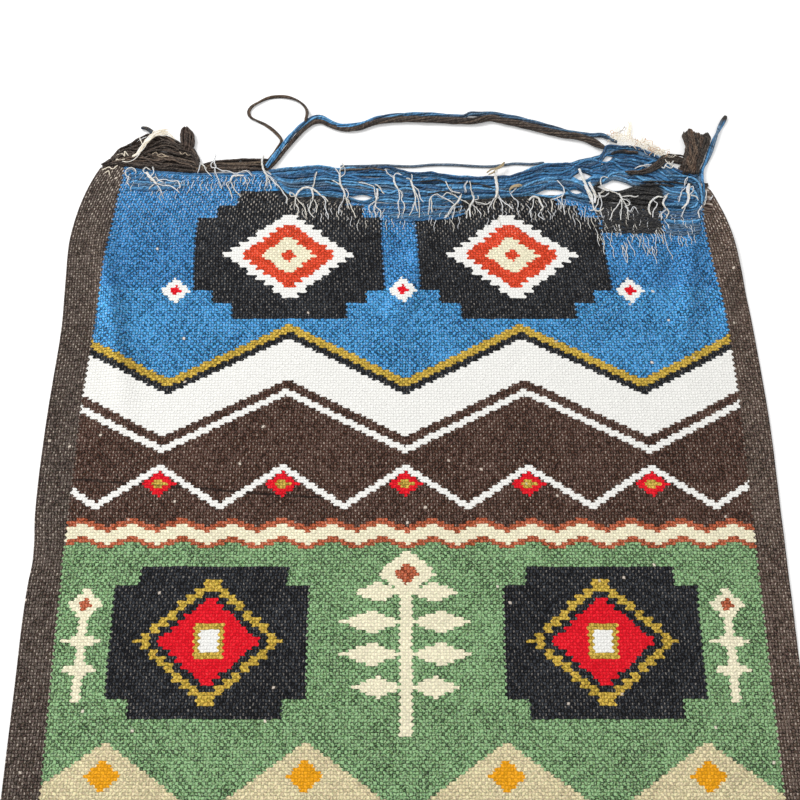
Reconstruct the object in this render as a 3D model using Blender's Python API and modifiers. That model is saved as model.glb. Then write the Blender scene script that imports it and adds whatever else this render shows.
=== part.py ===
"""Handwoven wool tapestry lying on its back, with its top edge coming unwoven.

The tables are in millimetres: X to the right, Y toward the top edge, Z up from the
surface that the cloth lies on. The origin is under the middle of the cloth.
Run it in Blender: blender --background --python part.py
"""

import math

import bmesh
import bpy
from mathutils import Vector

# Driving dimensions
MM = 0.001
CLOTH_THICK = 3.0
FLAT_TOP_Y = 470.0  # the row of the weave that bends most to follow the ragged end
BEND_FROM_Y = 380.0  # below this the rows of weft lie straight
CLEAR = 0.3  # between pieces that touch
CURVE_CLEAR = 0.6  # the same along a curved line
STRIP_WIDE = 4.0  # the last rows of weave, which hold the warp ends
STRIP_CELL = 7.4  # longest stretch of the strip that one lock stands on
WEFT_CELL = 15.0  # longest step along a bundle of wefts
LOCK_RISE = 3.2  # how far a lock runs before it lies level
LOCK_WIDE = 2.4
LOCK_TIP = 1.1
LOCK_THICK = 1.5
OVER_WEFTS = 5.6  # height of a lock's middle where it lies on loose wefts
OVER_CLOTH = 4.6  # the same where it lies back on the cloth
ROOT_UP = 0.7  # height of a lock's root above the strip
LEAN = 0.55  # how far a lock leans to its knot, as a share of the way
GROOVE = 0.66  # thickness between two yarns, as a share of that on a yarn
RIM = 0.5  # the same along the edge of a bundle
UNEVEN = 0.04  # how much a yarn's thickness varies along a bundle
FOLD_ROUND = 0.7  # how bluntly a fold fades at its ends
FREE_STEP = 6.0  # step along a bundle that lies free
TUFT_STEP = 4.0  # the same on the smallest bundle
PARTING_SIDES = 10
PARTING_DEEP = 20.0
STEP_PER_DIAMETER = 2.8  # spacing of the points along a loose yarn
TUBE_ROUND = 2  # bevel resolution of a loose yarn, which gives it eight sides
ROUGHNESS = 0.92

# Sides of the cloth: height up the cloth, left edge, right edge
SIDES = [
    (-556, -369, 369),
    (-300, -370, 370),
    (-60, -370, 370),
    (40, -369, 370),
    (67, -366.5, 370),
    (110, -370, 370),
    (200, -370, 370),
    (250, -368, 368),
    (310, -365.5, 364.5),
    (360, -367, 361),
    (410, -368, 357.5),
    (440, -364, 352),
    (465, -358, 344),
    (485, -351, 334),
    (507, -341, 329),
]

# Where the weave ends at the top: x, y, from left to right
WEAVE_END = [
    (-343, 503),
    (-328, 507),
    (-311, 501),
    (-277, 496),
    (-237, 494),
    (-187, 494),
    (-158, 494),
    (-145, 482),
    (-132, 468),
    (-97, 467),
    (-63, 466),
    (-36, 459),
    (3, 457),
    (36, 459),
    (61, 466),
    (103, 466),
    (170, 467),
    (202, 459),
    (235, 456),
    (263, 454),
    (301, 451),
    (322, 453),
    (336, 476),
]

# Soft ridges in the cloth: start x, y, end x, y, sideways bow, height, half width
FOLDS = [
    (-322, 472, -282, 195, 2, 5.0, 14),
    (34, 470, -26, 292, 5, 4.0, 13),
    (318, 446, 298, 326, 3, 2.6, 10),
    (340, 400, 322, 292, 2, 2.4, 9),
    (282, 430, 258, 338, -3, 2.0, 11),
    (352, 470, 360, 350, -2, 3.5, 9),
    (-372, 78, -318, 54, 0, 2.6, 11),
]

# Bands of the cloth's mesh: from, to, number of faces
COLUMNS = [
    (-370, -260, 8),
    (-260, -175, 3),
    (-175, -135, 4),
    (-135, -60, 3),
    (-60, 60, 7),
    (60, 180, 4),
    (180, 240, 3),
    (240, 370, 9),
]
ROWS = [(-556, -150, 4), (-150, 110, 6), (110, 380, 10), (380, 470, 6)]

# Bundles of loose wefts that lie along the strip. Each row is a section across the
# yarns: x where it starts on the strip, x and y of its far end, thickness
BLUE_WEFTS = [
    (-127, -149, 501.5, 3.6),
    (-112, -118, 505, 4.0),
    (-81, -81, 508, 4.2),
    (-48, -48, 504, 4.2),
    (-15, -15, 500, 4.2),
    (20, 20, 501, 4.2),
    (61, 61, 501, 4.2),
    (100, 100, 497, 4.2),
    (126, 126, 501, 4.2),
    (165, 160, 509.5, 4.2),
    (202, 196, 518, 4.2),
    (224, 219, 524.5, 4.2),
    (233, 232, 537, 4.2),
    (244, 246, 537, 4.2),
    (260, 264, 532, 4.2),
    (274, 279, 520, 4.2),
    (287, 291, 503, 4.2),
    (302, 307, 496, 4.0),
    (317, 331.5, 492, 3.6),
]
LEFT_BROWN_WEFTS = [
    (-330, -335, 514.5, 4.0),
    (-312, -319, 529, 6.0),
    (-295, -303, 542, 7.0),
    (-276, -284, 546.5, 7.5),
    (-262, -268, 540, 7.5),
    (-250, -253, 535.5, 7.0),
    (-241, -241, 529, 6.0),
    (-236, -235, 508, 4.0),
]
BROWN_BAND = [
    (-233.4, -233, 505.5, 3.6),
    (-215, -215, 511, 4.4),
    (-187, -187, 513.5, 4.8),
    (-160, -158, 517, 4.8),
]

# Bundles that lie free: near x, near y, far x, far y, thickness
RIGHT_BROWN_WEFTS = [
    (281.8, 517.6, 283, 524, 3.6),
    (289, 507.4, 291, 521.5, 5.5),
    (300.2, 500, 302, 520, 6.5),
    (312.7, 495.8, 313, 519, 6.5),
]
RIGHT_TUFT = [
    (328.5, 495.8, 313.5, 497.2, 6.0),
    (330.8, 507, 313.8, 508, 7.0),
    (334.6, 518, 314.4, 519.5, 8.0),
    (340, 531, 314.6, 531, 9.5),
    (343.5, 543, 312, 542, 10.5),
    (342, 549, 311.5, 549, 10.0),
    (335, 553.2, 317, 554.5, 6.0),
]
LEFT_TUFT = [
    (-245.6, 532.9, -254.8, 537.1, 6.0),
    (-245, 543, -257, 544, 8.0),
    (-245.4, 551, -256.4, 551.5, 8.0),
    (-248, 556, -253, 556, 5.0),
]

# Openings between the loose blue wefts: x, y, length, height, turn in degrees
PARTINGS = [
    (-47, 469.6, 22, 6.5, -12),
    (163, 478.5, 24, 6.5, 10),
    (186, 479, 7, 6, 0),
    (196, 494, 11, 9, -20),
    (217, 517.5, 10, 6.5, 20),
    (232, 484.5, 27, 8.5, 2),
]

# Knots of warp ends along the strip: x of the knot, length, locks, side they lie to
KNOTS = [
    (-304, 13, 2, -1),
    (-284, 20, 3, -1),
    (-256, 17, 2, -1),
    (-230, 16, 2, -1),
    (-199, 20, 3, -1),
    (-163, 15, 2, -1),
    (-116, 21, 3, 1),
    (-96, 24, 2, 1),
    (-74, 37, 3, 1),
    (-35, 16, 2, 1),
    (-12, 32, 2, 1),
    (6, 28, 2, 1),
    (53, 10, 3, 1),
    (72, 17, 3, 1),
    (99, 31, 3, 1),
    (121, 14, 2, 1),
    (144, 12, 2, 1),
    (172, 17, 2, 1),
    (203, 30, 2, 1),
    (218, 20, 2, 1),
    (240, 12, 3, 1),
    (270, 14, 3, 1),
    (288, 14, 2, 1),
    (312, 33, 3, 1),
    (328, 12, 2, -1),
]

# Routes of the loose yarns: x, y, z of the middle
BLUE_YARNS = [
    (-149.6, 505.8, 10.0), (-147, 511.4, 11.8), (-142.6, 520, 11.6), (-137, 530, 8.8),
    (-129.6, 542.4, 3.2), (-122, 556, 2.7), (-113.6, 567.5, 2.7), (-105.6, 572, 2.7),
    (-97, 570, 2.7), (-88, 564.8, 2.7), (-71, 559.2, 2.7), (-54, 563, 2.7),
    (-33, 572.8, 2.7), (-8, 575.6, 2.7), (21, 576.6, 2.7), (55, 573.6, 2.7),
    (70, 576, 2.7), (84, 576, 2.7), (107, 574, 2.7), (135, 566.4, 2.7),
    (174, 554, 2.7), (208, 544, 2.7), (228, 539, 2.7),
]
BROWN_YARNS = [
    (-156.2, 507.6, 4.2), (-147.6, 511.8, 4.2), (-138.6, 518, 4.2), (-130, 525.8, 4.2),
    (-121, 539, 4.2), (-113, 552, 4.2), (-106, 557.6, 4.2), (-97, 558.6, 4.2),
    (-88, 556.2, 4.2), (-70, 550.6, 4.2), (-54, 554.2, 4.2), (-37, 562.4, 4.2),
    (-8, 565, 4.2), (26, 564, 4.2), (55, 562.6, 4.2), (77, 561, 4.2),
    (95, 564.4, 4.2), (117, 561, 4.2), (151, 551, 4.2), (185, 542, 4.2),
    (208, 534.2, 4.2), (219.4, 530.2, 4.2),
]
BROWN_LOOP = [
    (-156.0, 515.2, 1.7), (-152.4, 520.4, 1.7), (-148.6, 527, 1.7), (-145.4, 535, 1.7),
    (-146, 543, 1.7), (-151, 551, 1.7), (-165, 561, 1.7), (-177, 569, 1.7),
    (-180, 578, 1.7), (-167, 589, 1.7), (-146, 596, 1.7), (-127, 593.4, 1.7),
    (-116.6, 585, 2.0), (-114, 577, 3.8), (-113.6, 569.4, 7.6), (-112, 563.4, 7.4),
]
STRAY_WEFT = [
    (-52, 506.6, 1.7), (-36, 504.8, 1.7), (-14, 503.4, 1.7), (14, 506.8, 1.7),
    (48, 507.4, 1.7), (76, 505.6, 1.7), (101, 504.4, 1.7), (116, 507.4, 1.7),
    (144, 510.6, 1.7), (158, 511.4, 1.7),
]
BLUE_END = [
    (331.6, 495, 2.2), (333.8, 503, 2.2), (337.4, 515, 2.2), (342.8, 530, 2.2),
    (348, 545, 2.2), (354.4, 557, 2.2), (361, 569, 2.2),
]

# Tapered wisps: x, y, z of the middle, radius
CREAM_LOCK = [
    (-273, 551.4, 3.2, 1.6), (-280, 549.2, 8.4, 2.2), (-288, 540, 10.7, 2.8),
    (-296, 527, 10.7, 2.6), (-305, 516, 9.4, 2.2), (-316, 509.6, 7.6, 1.4),
]
CREAM_FLUFF = [
    (232, 540.8, 3.0, 2.6), (240, 543.4, 4.2, 4.0), (250, 542.8, 4.6, 4.4),
    (261, 539.2, 4.6, 4.4), (271, 532.9, 4.2, 4.0), (281, 527.7, 3.0, 2.8),
    (291, 524.8, 2.2, 1.8),
]
DARK_END = [
    (-290.6, 547.4, 2.2, 1.8), (-293.4, 551.6, 2.2, 1.8), (-298.4, 553.8, 2.0, 1.7),
    (-304.4, 554.6, 1.6, 1.2),
]

# Finishes of the yarns, as linear red, green, blue
COLOURS = {
    "brown": (0.042, 0.028, 0.022),
    "blue": (0.046, 0.185, 0.456),
    "green": (0.082, 0.250, 0.095),
    "cream": (0.870, 0.800, 0.610),
    "dark": (0.020, 0.026, 0.040),
}

# Bundles along the strip: name, sections, yarns across, colour
STRIP_BUNDLES = [
    ("blue_wefts", BLUE_WEFTS, 7, "blue"),
    ("left_brown_wefts", LEFT_BROWN_WEFTS, 8, "brown"),
    ("brown_band", BROWN_BAND, 4, "brown"),
]

# Bundles that lie free: name, sections, yarns across, step, colour
FREE_BUNDLES = [
    ("right_brown_wefts", RIGHT_BROWN_WEFTS, 4, FREE_STEP, "brown"),
    ("right_tuft", RIGHT_TUFT, 5, FREE_STEP, "brown"),
    ("left_tuft", LEFT_TUFT, 3, TUFT_STEP, "brown"),
]

# Loose yarns: name, route, diameter, colour
LOOSE_YARNS = [
    ("blue_yarns", BLUE_YARNS, 5.0, "blue"),
    ("brown_yarns", BROWN_YARNS, 8.0, "brown"),
    ("brown_loop", BROWN_LOOP, 3.0, "brown"),
    ("stray_weft", STRAY_WEFT, 3.0, "blue"),
    ("blue_end", BLUE_END, 4.0, "blue"),
]

# Wisps of wool and cotton: name, points, colour
WISPS = [
    ("cream_lock", CREAM_LOCK, "cream"),
    ("cream_fluff", CREAM_FLUFF, "cream"),
    ("dark_end", DARK_END, "dark"),
]


def material(name, colour):
    """A matt yarn finish."""
    finish = bpy.data.materials.new(name)
    finish.use_nodes = True
    shader = finish.node_tree.nodes["Principled BSDF"]
    shader.inputs["Base Color"].default_value = (*colour, 1)
    shader.inputs["Roughness"].default_value = ROUGHNESS
    shader.inputs["Metallic"].default_value = 0.0
    return finish


def smooth(rows, distances, at):
    """The row at one distance, on a smooth curve through the rows of a table."""
    last = len(rows) - 1
    if at <= distances[0]:
        return Vector(rows[0])
    if at >= distances[last]:
        return Vector(rows[last])
    i = max(k for k in range(last) if distances[k] <= at)
    span = distances[i + 1] - distances[i]
    start, end = Vector(rows[i]), Vector(rows[i + 1])
    chord = (end - start) / span
    leave, arrive = chord, chord
    if i > 0:
        before = (start - Vector(rows[i - 1])) / (distances[i] - distances[i - 1])
        leave = (before + chord) / 2
    if i + 1 < last:
        after = (Vector(rows[i + 2]) - end) / (distances[i + 2] - distances[i + 1])
        arrive = (chord + after) / 2
    t = (at - distances[i]) / span
    ease = t * t * (3 - 2 * t)
    pull_out = t * (1 - t) ** 2 * span
    pull_in = t * t * (1 - t) * span
    return start.lerp(end, ease) + leave * pull_out - arrive * pull_in


def along(rows, width=3):
    """Running distance at each row of a route, measured over its first columns."""
    distances = [0.0]
    for here, there in zip(rows, rows[1:]):
        step = Vector(there[:width]) - Vector(here[:width])
        distances.append(distances[-1] + step.length)
    return distances


def route(rows, step):
    """Evenly spaced rows read from the smooth curve through a route."""
    distances = along(rows)
    count = max(3, round(distances[-1] / step))
    return [smooth(rows, distances, distances[-1] * k / count) for k in range(count + 1)]


def side_at(y):
    """Left and right edge of the cloth at one height."""
    return smooth([row[1:] for row in SIDES], [row[0] for row in SIDES], y)


def weave_end_at(x):
    """Height of the weave's ragged end at one place across."""
    return smooth([(row[1], 0) for row in WEAVE_END], [row[0] for row in WEAVE_END], x)[0]


def fold_height(x, y):
    """How far the folds lift the cloth off the surface."""
    lift = 0.0
    for x0, y0, x1, y1, bow, height, half_width in FOLDS:
        start, chord = Vector((x0, y0)), Vector((x1 - x0, y1 - y0))
        offset = Vector((x, y)) - start
        t = offset.dot(chord) / chord.length_squared
        if 0 < t < 1:
            side = Vector((-chord.y, chord.x)).normalized()
            aside = offset.dot(side) - bow * 4 * t * (1 - t)
            ends = math.sin(math.pi * t) ** FOLD_ROUND
            lift += height * ends * math.exp(-((aside / half_width) ** 2))
    return lift


def banded(bands):
    """Positions of a mesh's lines, from bands of unlike spacing."""
    lines = [bands[0][0]]
    for start, end, count in bands:
        lines += [start + (end - start) * (k + 1) / count for k in range(count)]
    return lines


def cloth_point(across, up):
    """Upper face of the cloth for a place on the flat, even cloth."""
    left_end, right_end = WEAVE_END[0][0], WEAVE_END[-1][0]
    share = (across - COLUMNS[0][0]) / (COLUMNS[-1][1] - COLUMNS[0][0])
    end_y = weave_end_at(left_end + (right_end - left_end) * share)
    bend = min(1, max(0, (up - BEND_FROM_Y) / (FLAT_TOP_Y - BEND_FROM_Y)))
    y = up + (end_y - FLAT_TOP_Y) * bend * bend
    left, right = side_at(y)
    x = left + (right - left) * share
    if bend == 1:
        x = left_end + (right_end - left_end) * share
    return Vector((x, y, CLOTH_THICK + fold_height(x, y)))


def mesh_object(name, bm, finish, parts, closed=True):
    """Ends a bmesh as one named object in metres, its faces pointing out."""
    bmesh.ops.recalc_face_normals(bm, faces=bm.faces)
    if closed and bm.calc_volume(signed=True) < 0:
        bmesh.ops.reverse_faces(bm, faces=bm.faces)
    bmesh.ops.scale(bm, vec=(MM, MM, MM), verts=bm.verts)
    mesh = bpy.data.meshes.new(name)
    bm.to_mesh(mesh)
    bm.free()
    mesh.materials.append(finish)
    mesh.shade_smooth()
    mesh.set_sharp_from_angle(angle=math.radians(50))
    parts.objects.link(bpy.data.objects.new(name, mesh))


def thicken_down(bm):
    """Closes an open upper face with sides and a flat underside on the surface."""
    upper = bm.verts[:]
    bmesh.ops.extrude_face_region(bm, geom=bm.faces[:])
    for vert in upper:
        vert.co.z = 0


def make_cloth(parts, finish):
    """The woven sheet, as one piece with its folds and its ragged top."""
    columns, rows = banded(COLUMNS), banded(ROWS)
    bm = bmesh.new()
    bmesh.ops.create_grid(bm, x_segments=len(columns) - 1, y_segments=len(rows) - 1, size=0.5)
    for vert in bm.verts:
        i = round((vert.co.x + 0.5) * (len(columns) - 1))
        j = round((vert.co.y + 0.5) * (len(rows) - 1))
        vert.co = cloth_point(columns[i], rows[j])
    mesh_object("woven_cloth", bm, finish, parts, closed=False)
    solidify = bpy.data.objects["woven_cloth"].modifiers.new("Thickness", "SOLIDIFY")
    solidify.thickness = CLOTH_THICK * MM
    solidify.offset = -1


def strip_line(away, cell):
    """The line that runs along the weave's end at one distance from it."""
    corners = [cloth_point(column, FLAT_TOP_Y) for column in banded(COLUMNS)]
    line = [corners[0]]
    for start, end in zip(corners, corners[1:]):
        cells = math.ceil((end - start).length / cell)
        line += [start.lerp(end, (k + 1) / cells) for k in range(cells)]
    moved = []
    for k, point in enumerate(line):
        before, after = line[max(k - 1, 0)], line[min(k + 1, len(line) - 1)]
        run = (point - before).normalized() + (after - point).normalized()
        out = Vector((-run.y, run.x, 0)).normalized()
        moved.append(Vector((point.x, point.y, 0)) + out * away)
    return moved


def sections_on_strip(rows):
    """Full sections of a bundle along the strip, one at each point of the strip."""
    strip = strip_line(CLEAR + STRIP_WIDE + CURVE_CLEAR, WEFT_CELL)
    keys = [row[0] for row in rows]
    places = [keys[0]] + [p.x for p in strip if keys[0] < p.x < keys[-1]] + [keys[-1]]
    sections = []
    for x in places:
        k = max(i for i in range(len(strip) - 1) if strip[i].x <= x)
        share = (x - strip[k].x) / (strip[k + 1].x - strip[k].x)
        _, far_x, far_y, thick = smooth(rows, keys, x)
        sections.append((x, strip[k].lerp(strip[k + 1], share).y, far_x, far_y, thick))
    return sections


def free_sections(rows, step):
    """Full sections of a bundle that lies free, evenly spaced along it."""
    keys = along([((row[0] + row[2]) / 2, (row[1] + row[3]) / 2) for row in rows], 2)
    count = max(3, round(keys[-1] / step))
    return [smooth(rows, keys, keys[-1] * k / count) for k in range(count + 1)]


def make_wefts(parts, name, sections, yarns, finish):
    """A bundle of loose wefts: flat below, with one ridge a yarn above."""
    columns, rows = len(sections) - 1, 2 * yarns
    bm = bmesh.new()
    bmesh.ops.create_grid(bm, x_segments=columns, y_segments=rows, size=0.5)
    for vert in bm.verts:
        i = round((vert.co.x + 0.5) * columns)
        j = round((vert.co.y + 0.5) * rows)
        near_x, near_y, far_x, far_y, thick = sections[i]
        crown = 1 if j % 2 else GROOVE
        if j in (0, rows):
            crown = RIM
        wave = 1 - UNEVEN + UNEVEN * math.sin(2.4 * j + 9 * i / columns)
        x = near_x + (far_x - near_x) * j / rows
        y = near_y + (far_y - near_y) * j / rows
        vert.co = (x, y, thick * crown * wave)
    thicken_down(bm)
    mesh_object(name, bm, finish, parts)


def make_partings(wefts, cutters):
    """Cuts the gaps between the loose blue wefts right through."""
    for number, (x, y, length, height, turn) in enumerate(PARTINGS, 1):
        bpy.ops.mesh.primitive_cylinder_add(
            vertices=PARTING_SIDES,
            radius=0.5,
            depth=PARTING_DEEP * MM,
            location=(x * MM, y * MM, 0),
            rotation=(0, 0, math.radians(turn)),
        )
        cutter = bpy.context.object
        cutter.name = f"parting_{number}"
        cutter.scale = (length * MM, height * MM, 1)
        cutter.hide_render = True
        cutter.display_type = "WIRE"
        for collection in cutter.users_collection:
            collection.objects.unlink(cutter)
        cutters.objects.link(cutter)
        cut = wefts.modifiers.new(cutter.name, "BOOLEAN")
        cut.operation = "DIFFERENCE"
        cut.object = cutter


def make_warp_ends(parts, finish):
    """The last rows of weave as a narrow strip, with the warp ends standing in it."""
    edges = strip_line(CLEAR, STRIP_CELL), strip_line(CLEAR + STRIP_WIDE, STRIP_CELL)
    cells = len(edges[0]) - 1
    bm = bmesh.new()
    bmesh.ops.create_grid(bm, x_segments=cells, y_segments=1, size=0.5)
    for vert in bm.verts:
        k = round((vert.co.x + 0.5) * cells)
        vert.co = edges[vert.co.y > 0][k]
        vert.co.z = CLOTH_THICK
    thicken_down(bm)
    bmesh.ops.recalc_face_normals(bm, faces=bm.faces)
    free = {face: face.calc_center_median().x for face in bm.faces if face.normal.z > 0.9}
    for x, length, locks, side in KNOTS:
        for face in sorted(free, key=lambda f: abs(free[f] - x))[:locks]:
            del free[face]
            grow_lock(bm, face, x, length, side)
    mesh_object("warp_ends", bm, finish, parts)


def grow_lock(bm, face, knot_x, length, side):
    """One four-sided lock that rises from a face of the strip and leans to its knot."""
    root = face.calc_center_median()
    edge = max(face.edges, key=lambda e: e.calc_length())
    across = (edge.verts[1].co - edge.verts[0].co).normalized()
    across = across if across.x > 0 else -across
    out = Vector((-across.y, across.x, 0))
    corners = []
    for vert in face.verts:
        offset = vert.co - root
        corners.append((1 if offset.dot(across) > 0 else -1, 1 if offset.dot(out) > 0 else -1))
    height = OVER_WEFTS if side > 0 else OVER_CLOTH
    lean = (knot_x - root.x) * LEAN
    # distance from the root, height, bend from upright, width
    stations = [
        (0.0, CLOTH_THICK + ROOT_UP, 0.2, 2 * LOCK_WIDE),
        (LOCK_RISE, height, 0.8, LOCK_WIDE),
        (0.6 * length, height, 1.0, LOCK_WIDE),
        (length, height, 1.0, LOCK_TIP),
    ]
    for far, z, bend, wide in stations:
        grown = bmesh.ops.extrude_discrete_faces(bm, faces=[face])
        face = grown["faces"][0]
        middle = root + across * (lean * far / length) + out * (side * far)
        angle = bend * math.pi / 2
        rise = out * math.cos(angle) - Vector((0, 0, side * math.sin(angle)))
        for vert, (a, b) in zip(face.verts, corners):
            place = middle + across * (a * wide / 2) + rise * (b * LOCK_THICK / 2)
            vert.co = (place.x, place.y, place.z - root.z + z)


def make_tube(parts, name, points, radii, finish, sides):
    """A tube with flat ends through the points, with its radius at each of them."""
    curve = bpy.data.curves.new(name, "CURVE")
    curve.dimensions = "3D"
    curve.bevel_depth = MM
    curve.bevel_resolution = sides
    curve.use_fill_caps = True
    line = curve.splines.new("POLY")
    line.points.add(len(points) - 1)
    for place, point, radius in zip(line.points, points, radii):
        place.co = (point[0] * MM, point[1] * MM, point[2] * MM, 1)
        place.radius = radius
    curve.materials.append(finish)
    parts.objects.link(bpy.data.objects.new(name, curve))


def main():
    for thing in list(bpy.data.objects):
        bpy.data.objects.remove(thing)
    parts = bpy.data.collections.new("tapestry")
    cutters = bpy.data.collections.new("cutters")
    bpy.context.scene.collection.children.link(parts)
    bpy.context.scene.collection.children.link(cutters)
    finishes = {name: material(f"{name} yarn", colour) for name, colour in COLOURS.items()}

    make_cloth(parts, finishes["green"])
    make_warp_ends(parts, finishes["cream"])
    for name, rows, yarns, colour in STRIP_BUNDLES:
        make_wefts(parts, name, sections_on_strip(rows), yarns, finishes[colour])
    make_partings(bpy.data.objects["blue_wefts"], cutters)
    for name, rows, yarns, step, colour in FREE_BUNDLES:
        make_wefts(parts, name, free_sections(rows, step), yarns, finishes[colour])
    for name, rows, diameter, colour in LOOSE_YARNS:
        points = route(rows, diameter * STEP_PER_DIAMETER)
        make_tube(parts, name, points, [diameter / 2] * len(points), finishes[colour], TUBE_ROUND)
    for name, rows, colour in WISPS:
        make_tube(parts, name, rows, [row[3] for row in rows], finishes[colour], 0)


main()
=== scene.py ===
# %% [markdown]
# # A handwoven tapestry that is coming unwoven
# A tapestry is a weft-faced weave: thick wool wefts are beaten down so hard that they
# hide the thin cotton warps, which show only as pale dashes. Here the top edge has come
# loose. The last wefts lie free, and the cut warp ends are twisted into little knots.
# The cloth lies on its back, seen from its bottom side, and everything is in the frame
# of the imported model: metres, +X right, +Y up the cloth, +Z up from the table.

# %% Load the frame
import math
import random

import bmesh
import bpy
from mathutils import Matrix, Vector, noise


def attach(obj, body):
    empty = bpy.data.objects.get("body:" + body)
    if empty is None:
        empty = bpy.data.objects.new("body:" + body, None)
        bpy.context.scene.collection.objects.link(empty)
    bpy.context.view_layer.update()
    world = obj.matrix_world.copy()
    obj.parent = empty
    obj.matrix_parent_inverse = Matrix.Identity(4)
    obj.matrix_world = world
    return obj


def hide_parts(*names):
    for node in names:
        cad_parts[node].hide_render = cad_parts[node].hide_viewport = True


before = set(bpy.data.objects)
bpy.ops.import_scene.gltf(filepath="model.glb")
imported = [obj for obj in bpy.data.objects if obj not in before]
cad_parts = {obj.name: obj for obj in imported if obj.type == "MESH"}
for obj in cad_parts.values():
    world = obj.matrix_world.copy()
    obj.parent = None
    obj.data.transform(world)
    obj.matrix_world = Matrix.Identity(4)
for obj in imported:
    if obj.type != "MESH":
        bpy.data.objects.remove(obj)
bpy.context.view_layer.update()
MM = 0.001
print("the frame holds", len(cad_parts), "nodes")

# %% [markdown]
# ## Where the camera stands
# The photograph looks down on the cloth from its bottom side, at 72 degrees. The way the
# side borders close in gives the distance, and a plain studio gives the light: one big
# soft lamp high on the left, a white world, and a white table that is nearly bleached.

# %% Camera, lamp and table
CAMERA_AT = Vector((-8.0, -71.3, 934.5)) * MM
CAMERA_AIM = Vector((-8.0, 230.0, 0.0)) * MM
LENS_MM = 42.75
SENSOR_MM = 36.0
LAMP_AT = Vector((-1.5, 1.3, 2.3))
LAMP_SIZE = 1.0
LAMP_WATTS = 44.0
WORLD_STRENGTH = 0.66
TABLE_SIDE = 12.0
TABLE_GLOW = 0.22  # bleaches the table, as in the photograph

scene = bpy.context.scene
lens = bpy.data.cameras.new("camera")
lens.lens = LENS_MM
lens.sensor_width = SENSOR_MM
camera = bpy.data.objects.new("camera", lens)
camera.location = CAMERA_AT
camera.rotation_euler = (CAMERA_AIM - CAMERA_AT).to_track_quat("-Z", "Y").to_euler()
scene.collection.objects.link(camera)
scene.camera = camera
scene.view_settings.view_transform = "Standard"

light = bpy.data.lights.new("key", "AREA")
light.size = LAMP_SIZE
light.energy = LAMP_WATTS
lamp = bpy.data.objects.new("key", light)
lamp.location = LAMP_AT
lamp.rotation_euler = (CAMERA_AIM - LAMP_AT).to_track_quat("-Z", "Y").to_euler()
scene.collection.objects.link(lamp)

world = bpy.data.worlds.new("studio")
world.use_nodes = True
sky = world.node_tree.nodes["Background"]
sky.inputs["Color"].default_value = (1.0, 1.0, 1.0, 1.0)
sky.inputs["Strength"].default_value = WORLD_STRENGTH
scene.world = world
print("camera, one lamp and a white world")

# %% [markdown]
# ## Colours and the one node helper
# Colours are written as the eye sees them, in sRGB hex, and turned to linear light. A
# single function adds any shader node: its settings are named, and its inputs are filled
# in order with plain values or with the nodes that feed them.

# %% Helpers for materials


def linear(code):
    """An sRGB hex colour as linear red, green, blue and alpha."""
    parts = [int(code[k : k + 2], 16) / 255 for k in (1, 3, 5)]
    return (*(c / 12.92 if c <= 0.04045 else ((c + 0.055) / 1.055) ** 2.4 for c in parts), 1.0)


def add(tree, kind, *inputs, **settings):
    """Adds one shader node with its settings and fills its inputs in order."""
    made = tree.nodes.new("ShaderNode" + kind)
    for name, value in settings.items():
        setattr(made, name, value)
    for socket, value in zip(made.inputs, inputs):
        if isinstance(value, bpy.types.Node):
            value = value.outputs[0]
        if isinstance(value, bpy.types.NodeSocket):
            tree.links.new(value, socket)
        elif value is not None:
            socket.default_value = value
    return made


def new_finish(name):
    """A material with only its Principled shader, and that shader's tree."""
    finish = bpy.data.materials.new(name)
    finish.use_nodes = True
    return finish, finish.node_tree, finish.node_tree.nodes["Principled BSDF"]


table_finish, _, table_shader = new_finish("white laminate")
table_shader.inputs["Base Color"].default_value = linear("#f7f7f7")
table_shader.inputs["Roughness"].default_value = 0.6
table_shader.inputs["Emission Color"].default_value = linear("#ffffff")
table_shader.inputs["Emission Strength"].default_value = TABLE_GLOW
bpy.ops.mesh.primitive_plane_add(size=TABLE_SIDE)
table = bpy.context.object
table.name = "table_top"
table.data.materials.append(table_finish)
print("white table top,", TABLE_SIDE, "m")

# %% [markdown]
# ## The outline of the cloth
# These tables are the driving dimensions of the cloth, in millimetres: its sides, drawn in
# toward the top, the ragged line where the weave stops, and the soft folds that never
# pressed flat. They started as the sizes of the solid that the cloth stands for, and were
# then moved by a few millimetres to match the photograph more closely. A smooth curve
# runs through each table, so a handful of rows is enough.

# %% Sizes of the cloth
CLOTH_WIDE = 740.0
CLOTH_THICK = 3.0
BOTTOM_Y = -556.0
FLAT_TOP_Y = 470.0
BEND_FROM_Y = 380.0  # above this the rows bend to follow the ragged end
YARN = 2.9  # thickness of the handspun wool

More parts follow.
